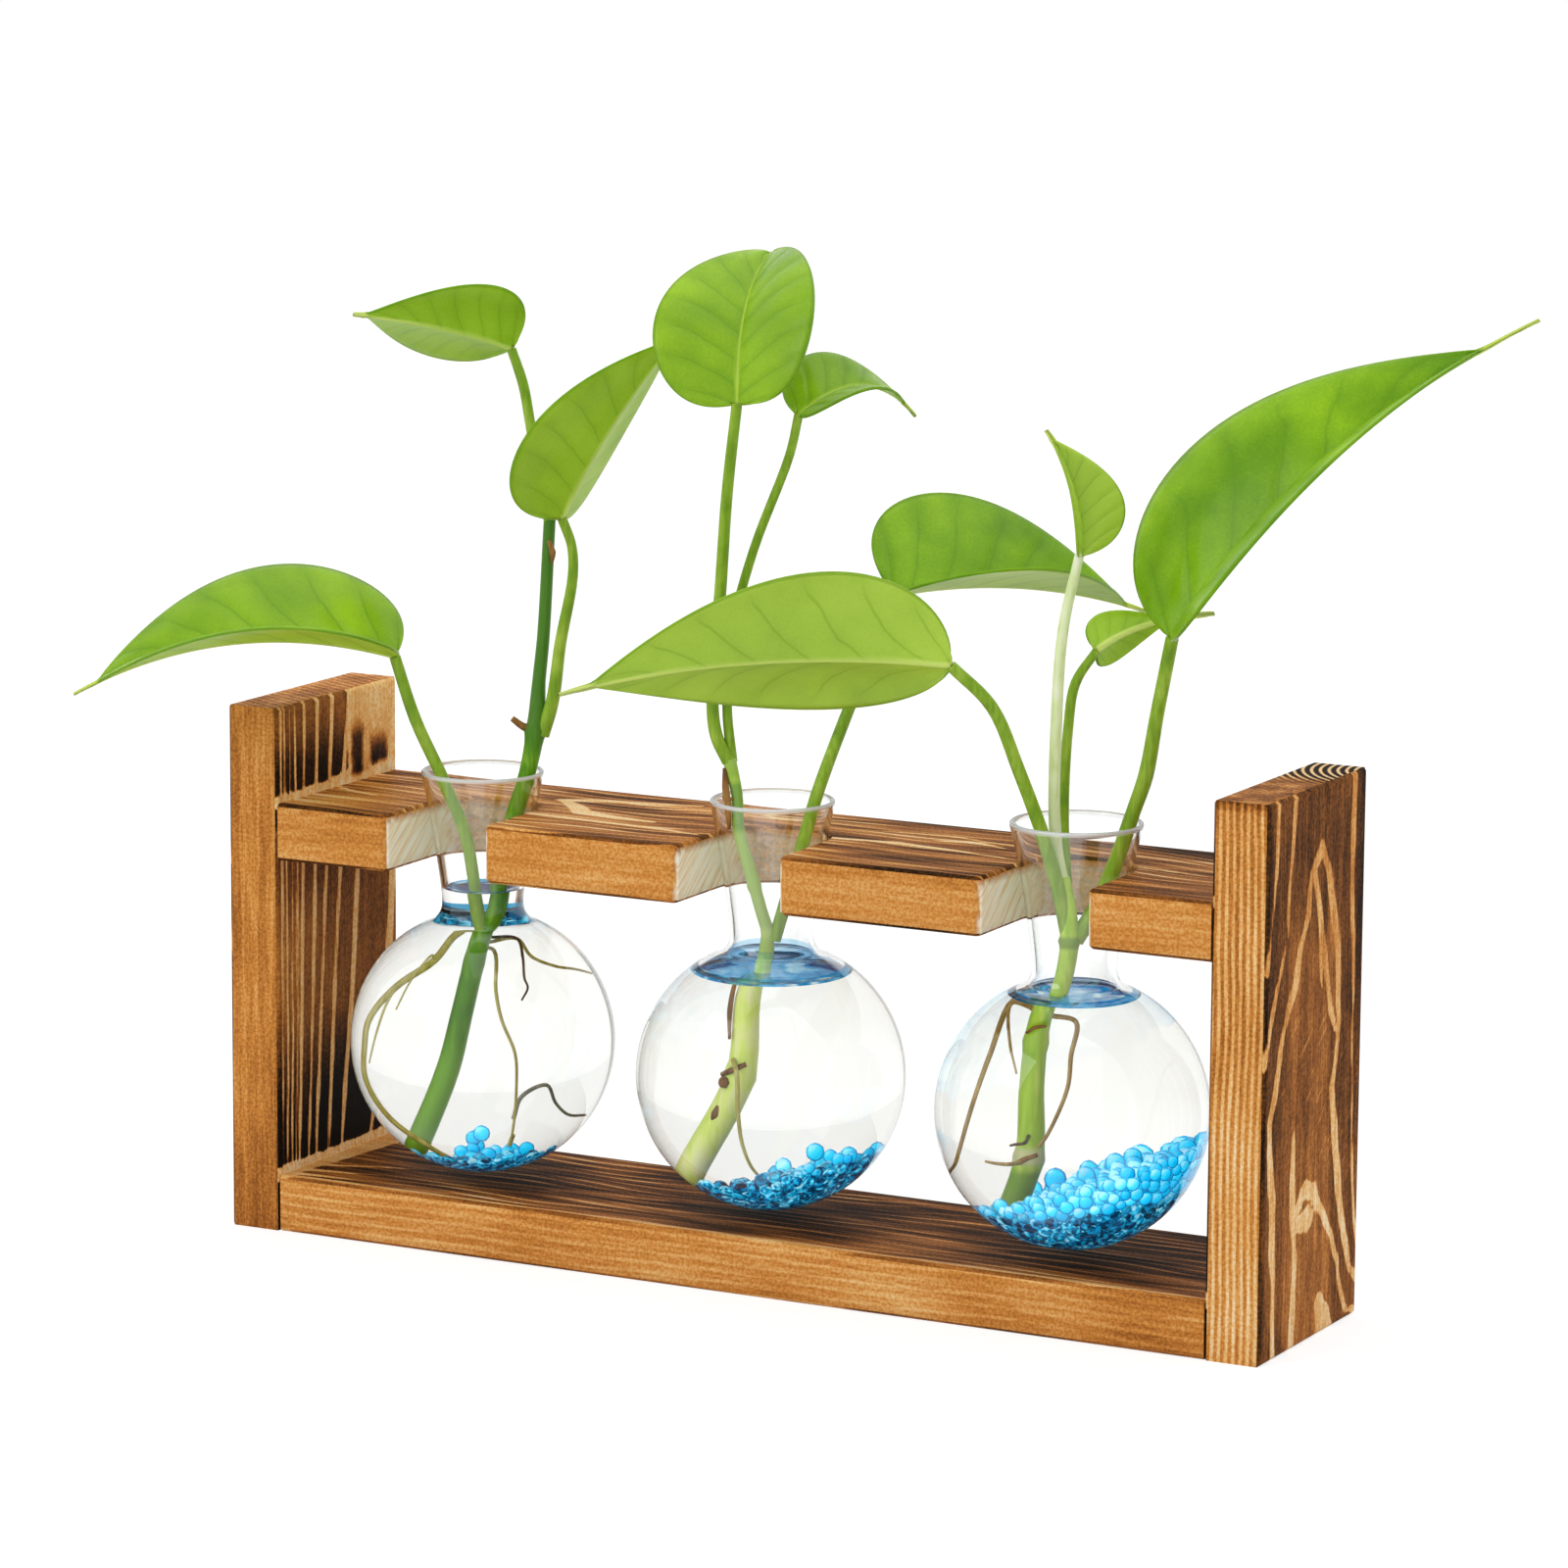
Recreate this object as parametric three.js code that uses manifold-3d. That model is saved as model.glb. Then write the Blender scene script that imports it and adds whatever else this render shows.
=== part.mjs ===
// Desktop stand for rooting cuttings in water: a torched softwood frame whose slotted rail holds three
// round-bottomed glass vases by their flared necks. Each vase has gel beads in its bulb and one leafy
// cutting. Millimetres, +Z up, the slots open towards -Y. Origin: centre of the stand's underside.
import * as THREE from "three";
import { mergeVertices } from "three/addons/utils/BufferGeometryUtils.js";
import Module from "manifold-3d";

const wasm = await Module();
wasm.setup();

// Frame
const standLength = 300;
const standDepth = 61;
const endBoardHeight = 141.5;
const boardThickness = 15.2;
const railTopHeight = 116;
const edgeRound = 0.8;

// Slots in the rail
const vasePitch = 86.5;
const slotWidth = 29.5;
const slotAxisFromFront = 24.7;
const slotMouthChamfer = 1.2;

// Dowels that join the rail and the base board to the end boards
const dowelDiameter = 6;
const dowelLength = 24;
const dowelInEndBoard = 9;
const dowelSpacing = 32;
const dowelChamfer = 0.8;
const dowelGap = 0.15;
const dowelEndGap = 0.5;

// Glass
const bulbRadius = 35.2;
const bulbLift = 2.5;
const glassWall = 1.2;
const bulbJoinRadius = 12.6;
const neckRadius = 10.8;
const neckRise = 4.4;
const flareFootRadius = 12.3;
const hangGap = 0.3;
const glassFacets = 20;
const bulbFacets = 9;

// What fills the vases
const beadRadius = 2.1;
const beadGap = 0.4;
const bedBearing = 27;
const organGap = 0.3;
const bladeGap = 0.4;
const bladeThickness = 0.9;
const bladeRim = 0.4;
const midribHeight = 1.1;
const dripWidth = 0.7;

const railMid = railTopHeight - boardThickness / 2;
const railFoot = railTopHeight - boardThickness;
const frontY = -standDepth / 2;
const innerLength = standLength - 2 * boardThickness;
const slotAxisY = frontY + slotAxisFromFront;
const slotRadius = slotWidth / 2;
const bulbCentre = boardThickness + bulbLift + bulbRadius;
const bulbInner = bulbRadius - glassWall;
const dowelMiddle = innerLength / 2 + dowelInEndBoard - dowelLength / 2;
const bulbTop = bulbCentre + Math.sqrt(bulbRadius ** 2 - bulbJoinRadius ** 2);
const neckHeight = bulbTop + neckRise;

const WOOD = { color: 0x8a5a2e, roughness: 0.7, metalness: 0 };
const DOWEL = { color: 0xd9b98a, roughness: 0.8, metalness: 0 };
const GLASS = { color: 0xf2f7f7, roughness: 0.05, metalness: 0, transparent: true, opacity: 0.35 };
const BEADS = { color: 0x35b6e8, roughness: 0.1, metalness: 0 };
const LEAF = { color: 0x7cb22c, roughness: 0.4, metalness: 0 };
const STALK = { color: 0x93bf45, roughness: 0.45, metalness: 0 };
const STEM = { color: 0x6f9a3c, roughness: 0.5, metalness: 0 };

const part = new THREE.Group();

function toSolid(geometry) {
  const bare = geometry.clone();
  bare.deleteAttribute("normal");
  bare.deleteAttribute("uv");
  const merged = mergeVertices(bare, 1e-4);
  return new wasm.Manifold(
    new wasm.Mesh({
      numProp: 3,
      vertProperties: new Float32Array(merged.attributes.position.array),
      triVerts: new Uint32Array(merged.index.array),
    }),
  );
}

function toGeometry(solid) {
  const mesh = solid.getMesh();
  const geometry = new THREE.BufferGeometry();
  geometry.setAttribute("position", new THREE.BufferAttribute(new Float32Array(mesh.vertProperties), 3));
  geometry.setIndex(new THREE.BufferAttribute(new Uint32Array(mesh.triVerts), 1));
  geometry.computeVertexNormals();
  return geometry;
}

// The largest body of a solid: what a cut leaves beside it is waste.
function mainBody(solid) {
  return solid.decompose().reduce((best, body) => (body.volume() > best.volume() ? body : best));
}

function add(name, geometry, look) {
  const mesh = new THREE.Mesh(geometry, new THREE.MeshStandardMaterial(look));
  mesh.name = name;
  part.add(mesh);
}

function boxSolid(sizeX, sizeY, sizeZ, x, y, z) {
  return toSolid(new THREE.BoxGeometry(sizeX, sizeY, sizeZ).translate(x, y, z));
}

// Boards

const easedEdge = {
  bevelEnabled: true,
  bevelThickness: edgeRound,
  bevelSize: edgeRound,
  bevelOffset: -edgeRound,
  bevelSegments: 1,
  curveSegments: 12,
};

function rectangle(width, height) {
  const shape = new THREE.Shape();
  shape.moveTo(-width / 2, -height / 2);
  shape.lineTo(width / 2, -height / 2);
  shape.lineTo(width / 2, height / 2);
  shape.lineTo(-width / 2, height / 2);
  shape.closePath();
  return shape;
}

// A board of the given outline, its faces eased, centred on its own thickness along Z.
function sawnBoard(outline) {
  const depth = boardThickness - 2 * edgeRound;
  return new THREE.ExtrudeGeometry(outline, { ...easedEdge, depth }).translate(0, 0, -depth / 2);
}

function dowelHoles(z) {
  const holes = [];
  for (const end of [-1, 1]) {
    for (const row of [-0.5, 0.5]) {
      const radius = dowelDiameter / 2 + dowelGap;
      const hole = new THREE.CylinderGeometry(radius, radius, dowelLength + 2 * dowelEndGap, 12);
      hole.rotateZ(Math.PI / 2).translate(end * dowelMiddle, row * dowelSpacing, z);
      holes.push(toSolid(hole));
    }
  }
  return holes;
}

// A lengthways board, cut square to fit between the end boards.
function crossBoard(outline, z) {
  const blank = toSolid(sawnBoard(outline).translate(0, 0, z));
  let board = blank.intersect(boxSolid(innerLength, 2 * standDepth, 2 * boardThickness, 0, 0, z));
  for (const hole of dowelHoles(z)) board = board.subtract(hole);
  return toGeometry(board);
}

function railOutline() {
  const overlength = standLength;
  const shape = new THREE.Shape();
  shape.moveTo(-overlength / 2, -frontY);
  shape.lineTo(-overlength / 2, frontY);
  for (const slot of [-1, 0, 1]) {
    const x = slot * vasePitch;
    shape.lineTo(x - slotRadius - slotMouthChamfer, frontY);
    shape.lineTo(x - slotRadius, frontY + slotMouthChamfer);
    shape.lineTo(x - slotRadius, slotAxisY);
    shape.absarc(x, slotAxisY, slotRadius, Math.PI, 0, true);
    shape.lineTo(x + slotRadius, frontY + slotMouthChamfer);
    shape.lineTo(x + slotRadius + slotMouthChamfer, frontY);
  }
  shape.lineTo(overlength / 2, frontY);
  shape.lineTo(overlength / 2, -frontY);
  shape.closePath();
  return shape;
}

function endBoard(side) {
  const blank = sawnBoard(rectangle(standDepth, endBoardHeight));
  blank.rotateX(Math.PI / 2).rotateZ(Math.PI / 2);
  blank.translate(side * (innerLength + boardThickness) / 2, 0, endBoardHeight / 2);
  let board = toSolid(blank);
  for (const z of [railMid, boardThickness / 2]) {
    for (const hole of dowelHoles(z)) board = board.subtract(hole);
  }
  return toGeometry(board);
}

function dowel() {
  const radius = dowelDiameter / 2;
  const half = dowelLength / 2;
  const profile = [
    [0, -half],
    [radius - dowelChamfer, -half],
    [radius, -half + dowelChamfer],
    [radius, half - dowelChamfer],
    [radius - dowelChamfer, half],
    [0, half],
  ].map(([r, y]) => new THREE.Vector2(r, y));
  return new THREE.LatheGeometry(profile, 12).rotateZ(Math.PI / 2);
}

add("base_board", crossBoard(rectangle(2 * standLength, standDepth), boardThickness / 2), WOOD);
add("vase_rail", crossBoard(railOutline(), railMid), WOOD);
add("end_board_left", endBoard(-1), WOOD);
add("end_board_right", endBoard(1), WOOD);
for (const [board, z] of [["base", boardThickness / 2], ["rail", railMid]]) {
  for (const [end, side] of [["left", -1], ["right", 1]]) {
    for (const [row, offset] of [["front", -0.5], ["back", 0.5]]) {
      const pin = dowel().translate(side * dowelMiddle, offset * dowelSpacing, z);
      add(`dowel_${board}_${end}_${row}`, pin, DOWEL);
    }
  }
}

// Glass vase, turned about Z with its axis at the origin

// The faceted outline of the bulb, or of what fills it, from its foot up to the neck's join.
function bulbArc(radius) {
  const sweep = Math.PI / 2 + Math.acos(bulbJoinRadius / bulbRadius);
  return Array.from({ length: bulbFacets + 1 }, (_, i) => {
    const angle = (i / bulbFacets) * sweep;
    return new THREE.Vector2(radius * Math.sin(angle), bulbCentre - radius * Math.cos(angle));
  });
}

function glassLines(rimRadius, rimRise) {
  const rimHeight = railTopHeight + rimRise;
  const outer = bulbArc(bulbRadius);
  const neck = new THREE.SplineCurve([
    outer[bulbFacets],
    new THREE.Vector2(neckRadius, neckHeight),
    new THREE.Vector2(flareFootRadius, railFoot + 2),
    new THREE.Vector2(slotRadius - hangGap, railTopHeight),
    new THREE.Vector2(rimRadius, rimHeight),
  ]);
  outer.push(...neck.getPoints(7).slice(1));
  const inner = outer.map((p, i) => {
    const before = outer[Math.max(i - 1, 0)];
    const after = outer[Math.min(i + 1, outer.length - 1)];
    const along = i === 0 ? new THREE.Vector2(1, 0) : after.clone().sub(before).normalize();
    return new THREE.Vector2(Math.max(p.x - along.y * glassWall, 0), p.y + along.x * glassWall);
  });
  inner[0].x = 0;
  return { outer, inner, lip: new THREE.Vector2(rimRadius - glassWall / 2, rimHeight + glassWall / 2) };
}

function glassVase({ outer, inner, lip }) {
  const profile = [...outer, lip, ...inner.toReversed()];
  return new THREE.LatheGeometry(profile, glassFacets).rotateX(Math.PI / 2);
}

// A route's point, drawn in towards the axis where the glass of the neck would touch it.
function insideGlass(inner, [x, y, z, radius = 0]) {
  const above = inner.findIndex((p) => p.y > z);
  if (above < 1) return [x, y, z, radius];
  const [low, high] = [inner[above - 1], inner[above]];
  const wall = THREE.MathUtils.mapLinear(z, low.y, high.y, low.x, high.x);
  const room = wall * Math.cos(Math.PI / glassFacets) - organGap - radius;
  const drawn = Math.min(1, room / Math.hypot(x, y));
  return [x * drawn, y * drawn, z, radius];
}

// Sheets and rods of the plants

// A closed skin over rings of points that turn right-handed about the way they advance.
function loft(rings) {
  const count = rings[0].length;
  const position = [];
  const index = [];
  for (const ring of rings) {
    for (const p of ring) position.push(p.x, p.y, p.z);
  }
  for (let r = 0; r + 1 < rings.length; r++) {
    for (let i = 0; i < count; i++) {
      const a = r * count + i;
      const b = r * count + ((i + 1) % count);
      index.push(a, b, b + count, a, b + count, a + count);
    }
  }
  for (const [r, turn] of [[0, 1], [rings.length - 1, 0]]) {
    const centre = rings[r].reduce((sum, p) => sum.add(p), new THREE.Vector3()).divideScalar(count);
    const hub = position.length / 3;
    position.push(centre.x, centre.y, centre.z);
    for (let i = 0; i < count; i++) {
      const a = r * count + i;
      const b = r * count + ((i + 1) % count);
      if (turn) index.push(hub, b, a);
      else index.push(hub, a, b);
    }
  }
  const geometry = new THREE.BufferGeometry();
  geometry.setAttribute("position", new THREE.Float32BufferAttribute(position, 3));
  geometry.setIndex(index);
  return geometry;
}

// A round rod through the points [x, y, z, radius], swollen by extra all round and at both ends.
function rod(points, extra = 0, sides = 8) {
  const curve = new THREE.CatmullRomCurve3(points.map(([x, y, z]) => new THREE.Vector3(x, y, z)));
  const steps = Math.ceil(1.2 * (points.length - 1));
  const rings = [];
  const across = new THREE.Vector3(0, 1, 0);
  for (let k = 0; k <= steps; k++) {
    const t = k / steps;
    const place = t * (points.length - 1);
    const low = Math.min(Math.floor(place), points.length - 2);
    const radius = THREE.MathUtils.lerp(points[low][3], points[low + 1][3], place - low) + extra;
    const along = curve.getTangent(t);
    across.addScaledVector(along, -across.dot(along)).normalize();
    const third = along.clone().cross(across);
    const centre = curve.getPoint(t);
    if (k === 0) centre.addScaledVector(along, -extra);
    if (k === steps) centre.addScaledVector(along, extra);
    rings.push(
      Array.from({ length: sides }, (_, i) => {
        const angle = (2 * Math.PI * i) / sides;
        return centre
          .clone()
          .addScaledVector(across, radius * Math.cos(angle))
          .addScaledVector(third, radius * Math.sin(angle));
      }),
    );
  }
  return loft(rings);
}

// A leaf blade on a bowed midrib from base to tip. The halves fold up from the midrib, lobes reach back
// past the stalk, and the last share of the midrib is a bare drip tip. extra swells the blade all round.
function blade(leaf, extra = 0) {
  const { lead = 0, sway = 0, bow = 0 } = leaf;
  const base = new THREE.Vector3(...leaf.base);
  const chord = new THREE.Vector3(...leaf.tip).sub(base);
  const length = chord.length() + 2 * extra;
  const along = chord.clone().normalize();
  base.addScaledVector(along, -extra);
  const level = along.clone().cross(new THREE.Vector3(0, 0, 1)).normalize();
  const upright = level.clone().cross(along);
  const roll = THREE.MathUtils.degToRad(leaf.roll);
  const up = upright.clone().multiplyScalar(Math.cos(roll)).addScaledVector(level, Math.sin(roll));
  const side = level.clone().multiplyScalar(Math.cos(roll)).addScaledVector(upright, -Math.sin(roll));
  const steps = length > 60 ? 11 : 8;
  const widest = 0.5 / (1 + leaf.taper);
  const peak = 2 * Math.sqrt(widest * (1 - widest)) * (1 - widest) ** leaf.taper;
  const columns = [-1, -0.55, -0.08, 0, 0.08, 0.55, 1];
  const half = bladeThickness / 2 + extra;
  const rings = [];

  const midrib = (u) => {
    const arch = 4 * u * (1 - u);
    return base
      .clone()
      .addScaledVector(along, length * u)
      .addScaledVector(up, bow * arch)
      .addScaledVector(side, sway * arch);
  };

  for (let row = 0; row <= steps + 1; row++) {
    const angle = (Math.PI * Math.min(row, steps)) / steps;
    const share = (1 - Math.cos(angle)) / 2;
    const swell = (Math.sin(angle) * (1 - share) ** leaf.taper) / peak;
    const u = row <= steps ? share * (1 - leaf.drip) : 1;
    const top = [];
    const bottom = [];
    for (const column of columns) {
      const hand = column < 0 ? 0 : 1;
      const sign = column < 0 ? -1 : 1;
      const out = Math.abs(column);
      const fold = THREE.MathUtils.degToRad(leaf.folds[hand]);
      const width = leaf.widths[hand] * swell;
      const drip = row <= steps ? dripWidth : dripWidth / 2;
      const reach = Math.max(width, drip) * out + (out > 0 ? extra : 0);
      const hump = leaf.belly * width * 4 * out * (1 - out);
      const back = leaf.lobes[hand] * Math.sin(angle) * (1 - share) ** 3 * out;
      const forward = lead * Math.sin(angle) * share ** 3 * out;
      const outward = side.clone().multiplyScalar(sign).applyAxisAngle(along, -sign * fold);
      const normal = up.clone().applyAxisAngle(along, -sign * fold);
      const point = midrib(u - back + forward);
      point.addScaledVector(outward, reach).addScaledVector(normal, hump);
      // Both skins are set off along one direction, so that they can't cross where the blade is narrow.
      const skin = (out === 1 ? bladeRim / 2 + extra : half) / (out ? Math.cos(fold) : 1);
      const rib = column === 0 ? midribHeight * (1 - share) : 0;
      top.push(point.clone().addScaledVector(up, skin));
      bottom.push(point.clone().addScaledVector(up, -skin - rib));
    }
    rings.push([...top, ...bottom.reverse()]);
  }
  return loft(rings);
}

// Gel beads heaped in the bulb: a bed of settled beads cut to the glass, with loose ones on its top.
// depth is the bed's height at the vase's axis and tilt its rise towards bedBearing.
function beadBed(depth, tilt, loose) {
  const room = bulbInner - beadGap;
  const profile = bulbArc(room);
  profile.push(new THREE.Vector2(0, profile.at(-1).y));
  const bulb = toSolid(new THREE.LatheGeometry(profile, glassFacets).rotateX(Math.PI / 2));
  const middle = new THREE.Matrix4().makeTranslation(0, 0, bulbCentre);
  const place = middle
    .multiply(new THREE.Matrix4().makeRotationZ(THREE.MathUtils.degToRad(bedBearing)))
    .multiply(new THREE.Matrix4().makeRotationY(-THREE.MathUtils.degToRad(tilt)));
  const topLevel = (depth - bulbInner) * Math.cos(THREE.MathUtils.degToRad(tilt));
  const slab = new THREE.BoxGeometry(4 * room, 4 * room, 2 * room);
  slab.translate(0, 0, topLevel - room).applyMatrix4(place);
  let bed = bulb.intersect(toSolid(slab));
  const golden = Math.PI * (3 - Math.sqrt(5));
  for (let k = 0; k < loose; k++) {
    const reach = beadRadius * 1.75 * Math.sqrt(k + 0.5);
    const centre = new THREE.Vector3(
      reach * Math.cos(k * golden),
      reach * Math.sin(k * golden),
      topLevel + beadRadius * (k % 3) * 0.4,
    ).applyMatrix4(place);
    const bead = new THREE.IcosahedronGeometry(beadRadius, 0).translate(centre.x, centre.y, centre.z);
    bed = bed.add(toSolid(bead));
  }
  return bed.intersect(bulb);
}

// The vases from left to right. Routes are points [x, y, z, radius] from the vase's axis, z from the
// rail's top. Those in the bulb are shares of its inner radius from its centre. Leaves go by place.

const plantings = [
  {
    side: "left",
    slot: -1,
    rimRadius: 16.2,
    rimRise: 9,
    bed: [8, 3, 12],
    stemInBulb: [
      [-0.46, -0.02, -0.76, 2.3],
      [-0.22, -0.02, -0.2, 2.3],
      [-0.13, -0.02, 0.15, 2.2],
      [-0.01, -0.02, 0.65, 2.2],
    ],
    stem: [
      [4.3, -1.1, -26.5, 2.2],
      [6.4, -1.1, -14.4, 2.2],
      [10, 0.8, 1.2, 2.2],
      [11.8, 3, 9.2, 2.2],
      [12.6, 6, 20.2, 2.5],
      [12.2, 8.6, 33, 1.8],
      [12.7, 10.1, 45, 1.7],
      [13.7, 11.7, 76, 1.6],
    ],
    stubs: [[[12.6, 6, 20.2, 1.9], [9, 3.8, 21.2, 1.5], [5.5, 1.6, 22.7, 1.1]]],
    leaves: {
      low: {
        stalk: [
          [0.8, -1.8, -36, 1.6],
          [0, -4.4, -19.8, 1.6],
          [-2, -5.6, -6.8, 1.6],
          [-6.2, -8.8, 6.7, 1.6],
          [-12, -14.3, 24.2, 1.6],
          [-16.3, -17.5, 41, 1.5],
        ],
        tip: [-87.5, -61.5, 31.5],
        bow: 8.7,
        roll: -5,
        widths: [28.5, 29],
        folds: [30, 31],
        lobes: [0.12, 0.2],
        taper: 0.5,
        belly: 0.06,
        drip: 0.07,
      },
      top: {
        stalk: [
          [13.7, 11.7, 74, 1.5],
          [12.3, 11, 86, 1.5],
          [9.2, 10.7, 97, 1.4],
          [6.6, 10.2, 111, 1.4],
          [3.8, 8.8, 120.5, 1.3],
        ],
        tip: [-24.5, -24, 131],
        roll: 28,
        widths: [18.5, 31],
        folds: [23, 13],
        lobes: [0.1, 0.1],
        taper: 0.6,
        belly: 0.08,
        sway: -2.8,
        drip: 0.06,
      },
      middle: {
        stalk: [
          [14.4, 6.4, 19.2, 2],
          [16.8, 7.7, 28.2, 1.8],
          [19.2, 7.8, 44, 1.6],
          [23, 7.6, 62, 1.4],
          [23, 7, 70, 1.3],
          [21.5, 4.5, 77.5, 1.3],
        ],
        tip: [56, 7, 128.5],
        bow: 1.5,
        roll: 2,
        widths: [22.5, 25],
        folds: [7, 29],
        lobes: [0.19, 0.15],
        taper: 0.4,
        belly: 0.03,
        sway: 2.8,
        drip: 0.06,
      },
    },
  },
  {
    side: "middle",
    slot: 0,
    rimRadius: 16.2,
    rimRise: 9,
    bed: [12, 8, 13],
    stemInBulb: [
      [-0.5, -0.03, -0.7, 2.7],
      [-0.46, -0.03, -0.57, 2.8],
      [-0.18, -0.03, -0.02, 2.9],
      [-0.14, -0.03, 0.45, 2.6],
    ],
    stem: [
      [0.4, -3, -25.8, 1.7],
      [-0.6, -4.7, -18.8, 1.6],
      [-3, -6.1, -8.8, 1.6],
      [-5.8, -7.4, 2.7, 1.5],
      [-6.8, -6.8, 11.2, 1.5],
      [-9, -6.9, 20.2, 1.8],
    ],
    stubs: [],
    leaves: {
      top: {
        stalk: [
          [-9.2, -7.1, 19.7, 1.7],
          [-12, -8.6, 26.7, 1.7],
          [-12.4, -10, 38, 1.6],
          [-9.8, -10.8, 64, 1.6],
          [-7.4, -11.8, 90, 1.5],
          [-4.8, -11.6, 113, 1.4],
        ],
        tip: [-14, 23.5, 148],
        bow: 6.7,
        roll: -4,
        widths: [22.5, 23.5],
        folds: [17, 24],
        lobes: [0.22, 0.22],
        lead: 0.12,
        taper: 0.4,
        belly: 0.04,
        sway: -0.7,
        drip: 0.02,
      },
      side: {
        stalk: [
          [-8.8, -5.7, 19.5, 1.4],
          [-10, -6.4, 34, 1.3],
          [-8.8, -5.8, 54, 1.3],
          [-4.2, -3.3, 74.5, 1.2],
          [3, 2.6, 99, 1.2],
          [4.4, 4.6, 109, 1.2],
        ],
        tip: [21.5, 37, 106.5],
        bow: 8,
        roll: 17,
        widths: [16.5, 8],
        folds: [10, 16],
        lobes: [0.09, 0.09],
        taper: 0.4,
        belly: 0.03,
        sway: -0.5,
        drip: 0.12,
      },
      back: {
        stalk: [
          [2, -2.4, -26.8, 1.7],
          [4.8, -0.9, -15.4, 1.7],
          [8, 2, -0.8, 1.7],
          [10, 6.6, 12.2, 1.7],
          [13.9, 17.4, 34, 1.6],
          [20.3, 28.7, 60.5, 1.5],
        ],
        tip: [66, 84.5, 52.5],
        bow: 3.7,
        roll: 21,
        widths: [31.5, 30],
        folds: [23, 38],
        lobes: [0.22, 0.16],
        taper: 0.45,
        belly: 0.02,
        sway: -1.8,
        drip: 0.08,
      },
    },
  },
  {
    side: "right",
    slot: 1,
    rimRadius: 17,
    rimRise: 11,
    bed: [18.5, 20, 14],
    stemInBulb: [
      [-0.37, -0.03, -0.66, 2.4],
      [-0.24, -0.03, -0.28, 2.7],
      [-0.24, -0.02, 0.12, 2.4],
      [-0.21, -0.02, 0.52, 2.3],
    ],
    stem: [
      [-1.2, -2.8, -26.1, 2.3],
      [0, -3.3, -18.4, 2.4],
      [-0.6, -3.4, -9.8, 2.2],
      [-2.4, -2.9, -2.3, 1.9],
    ],
    stubs: [],
    leaves: {
      front: {
        stalk: [
          [-0.6, -3.6, -15.8, 1.9],
          [-1.8, -5.4, -6.8, 1.8],
          [-4, -7.8, 4.6, 1.8],
          [-9.2, -14.9, 26.2, 1.7],
          [-13.5, -22, 43, 1.6],
          [-21.8, -28.4, 53.5, 1.5],
        ],
        tip: [-95, -96.5, 50],
        bow: 8.3,
        roll: 61,
        widths: [23.5, 25.5],
        folds: [17, 24],
        lobes: [0.02, 0.02],
        taper: 0.53,
        belly: 0.1,
        sway: 1.3,
        drip: 0.08,
      },
      upright: {
        stalk: [
          [-2.1, -3, -3.5, 1.6],
          [-3.6, -3.3, 3, 1.6],
          [-3.9, -5, 14.2, 1.5],
          [-2.6, -7.4, 36, 1.5],
          [-0.4, -9, 61, 1.4],
          [3.9, -9.1, 80.6, 1.2],
        ],
        tip: [-5, -10.2, 111.5],
        bow: 0.8,
        roll: -13,
        widths: [9.5, 13],
        folds: [30, 37],
        lobes: [0.08, 0.08],
        taper: 0.55,
        belly: 0.09,
        sway: 2.8,
        drip: 0.08,
      },
      small: {
        stalk: [
          [-1.8, 0, -13.8, 1.5],
          [-3.7, 1.5, 0.6, 1.4],
          [-4.3, 1.3, 13.2, 1.4],
          [-2.8, 0.1, 35, 1.3],
          [-0.6, -0.6, 47, 1.3],
          [4.7, 0.2, 55.5, 1.1],
        ],
        tip: [22.5, 32, 62],
        bow: 3.4,
        roll: -106,
        widths: [6.5, 8.5],
        folds: [27, 35],
        lobes: [0.06, 0.06],
        taper: 0.6,
        belly: 0.08,
        sway: 2.3,
        drip: 0.3,
      },
      large: {
        stalk: [
          [1, -1.8, -18.3, 2.1],
          [5.4, 0.6, -9.8, 2.1],
          [9.6, 2.8, 1.7, 2],
          [13.5, 4.6, 14.7, 1.9],
          [16.6, 5, 24.2, 2],
          [20, 3.6, 40, 1.8],
          [24.7, 1.6, 60, 1.7],
        ],
        tip: [100, 52.5, 139],
        bow: 8.6,
        roll: 10,
        widths: [36, 36.5],
        folds: [25, 21],
        lobes: [0.07, 0.07],
        taper: 0.57,
        belly: 0.06,
        drip: 0.13,
      },
    },
  },
];

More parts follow.
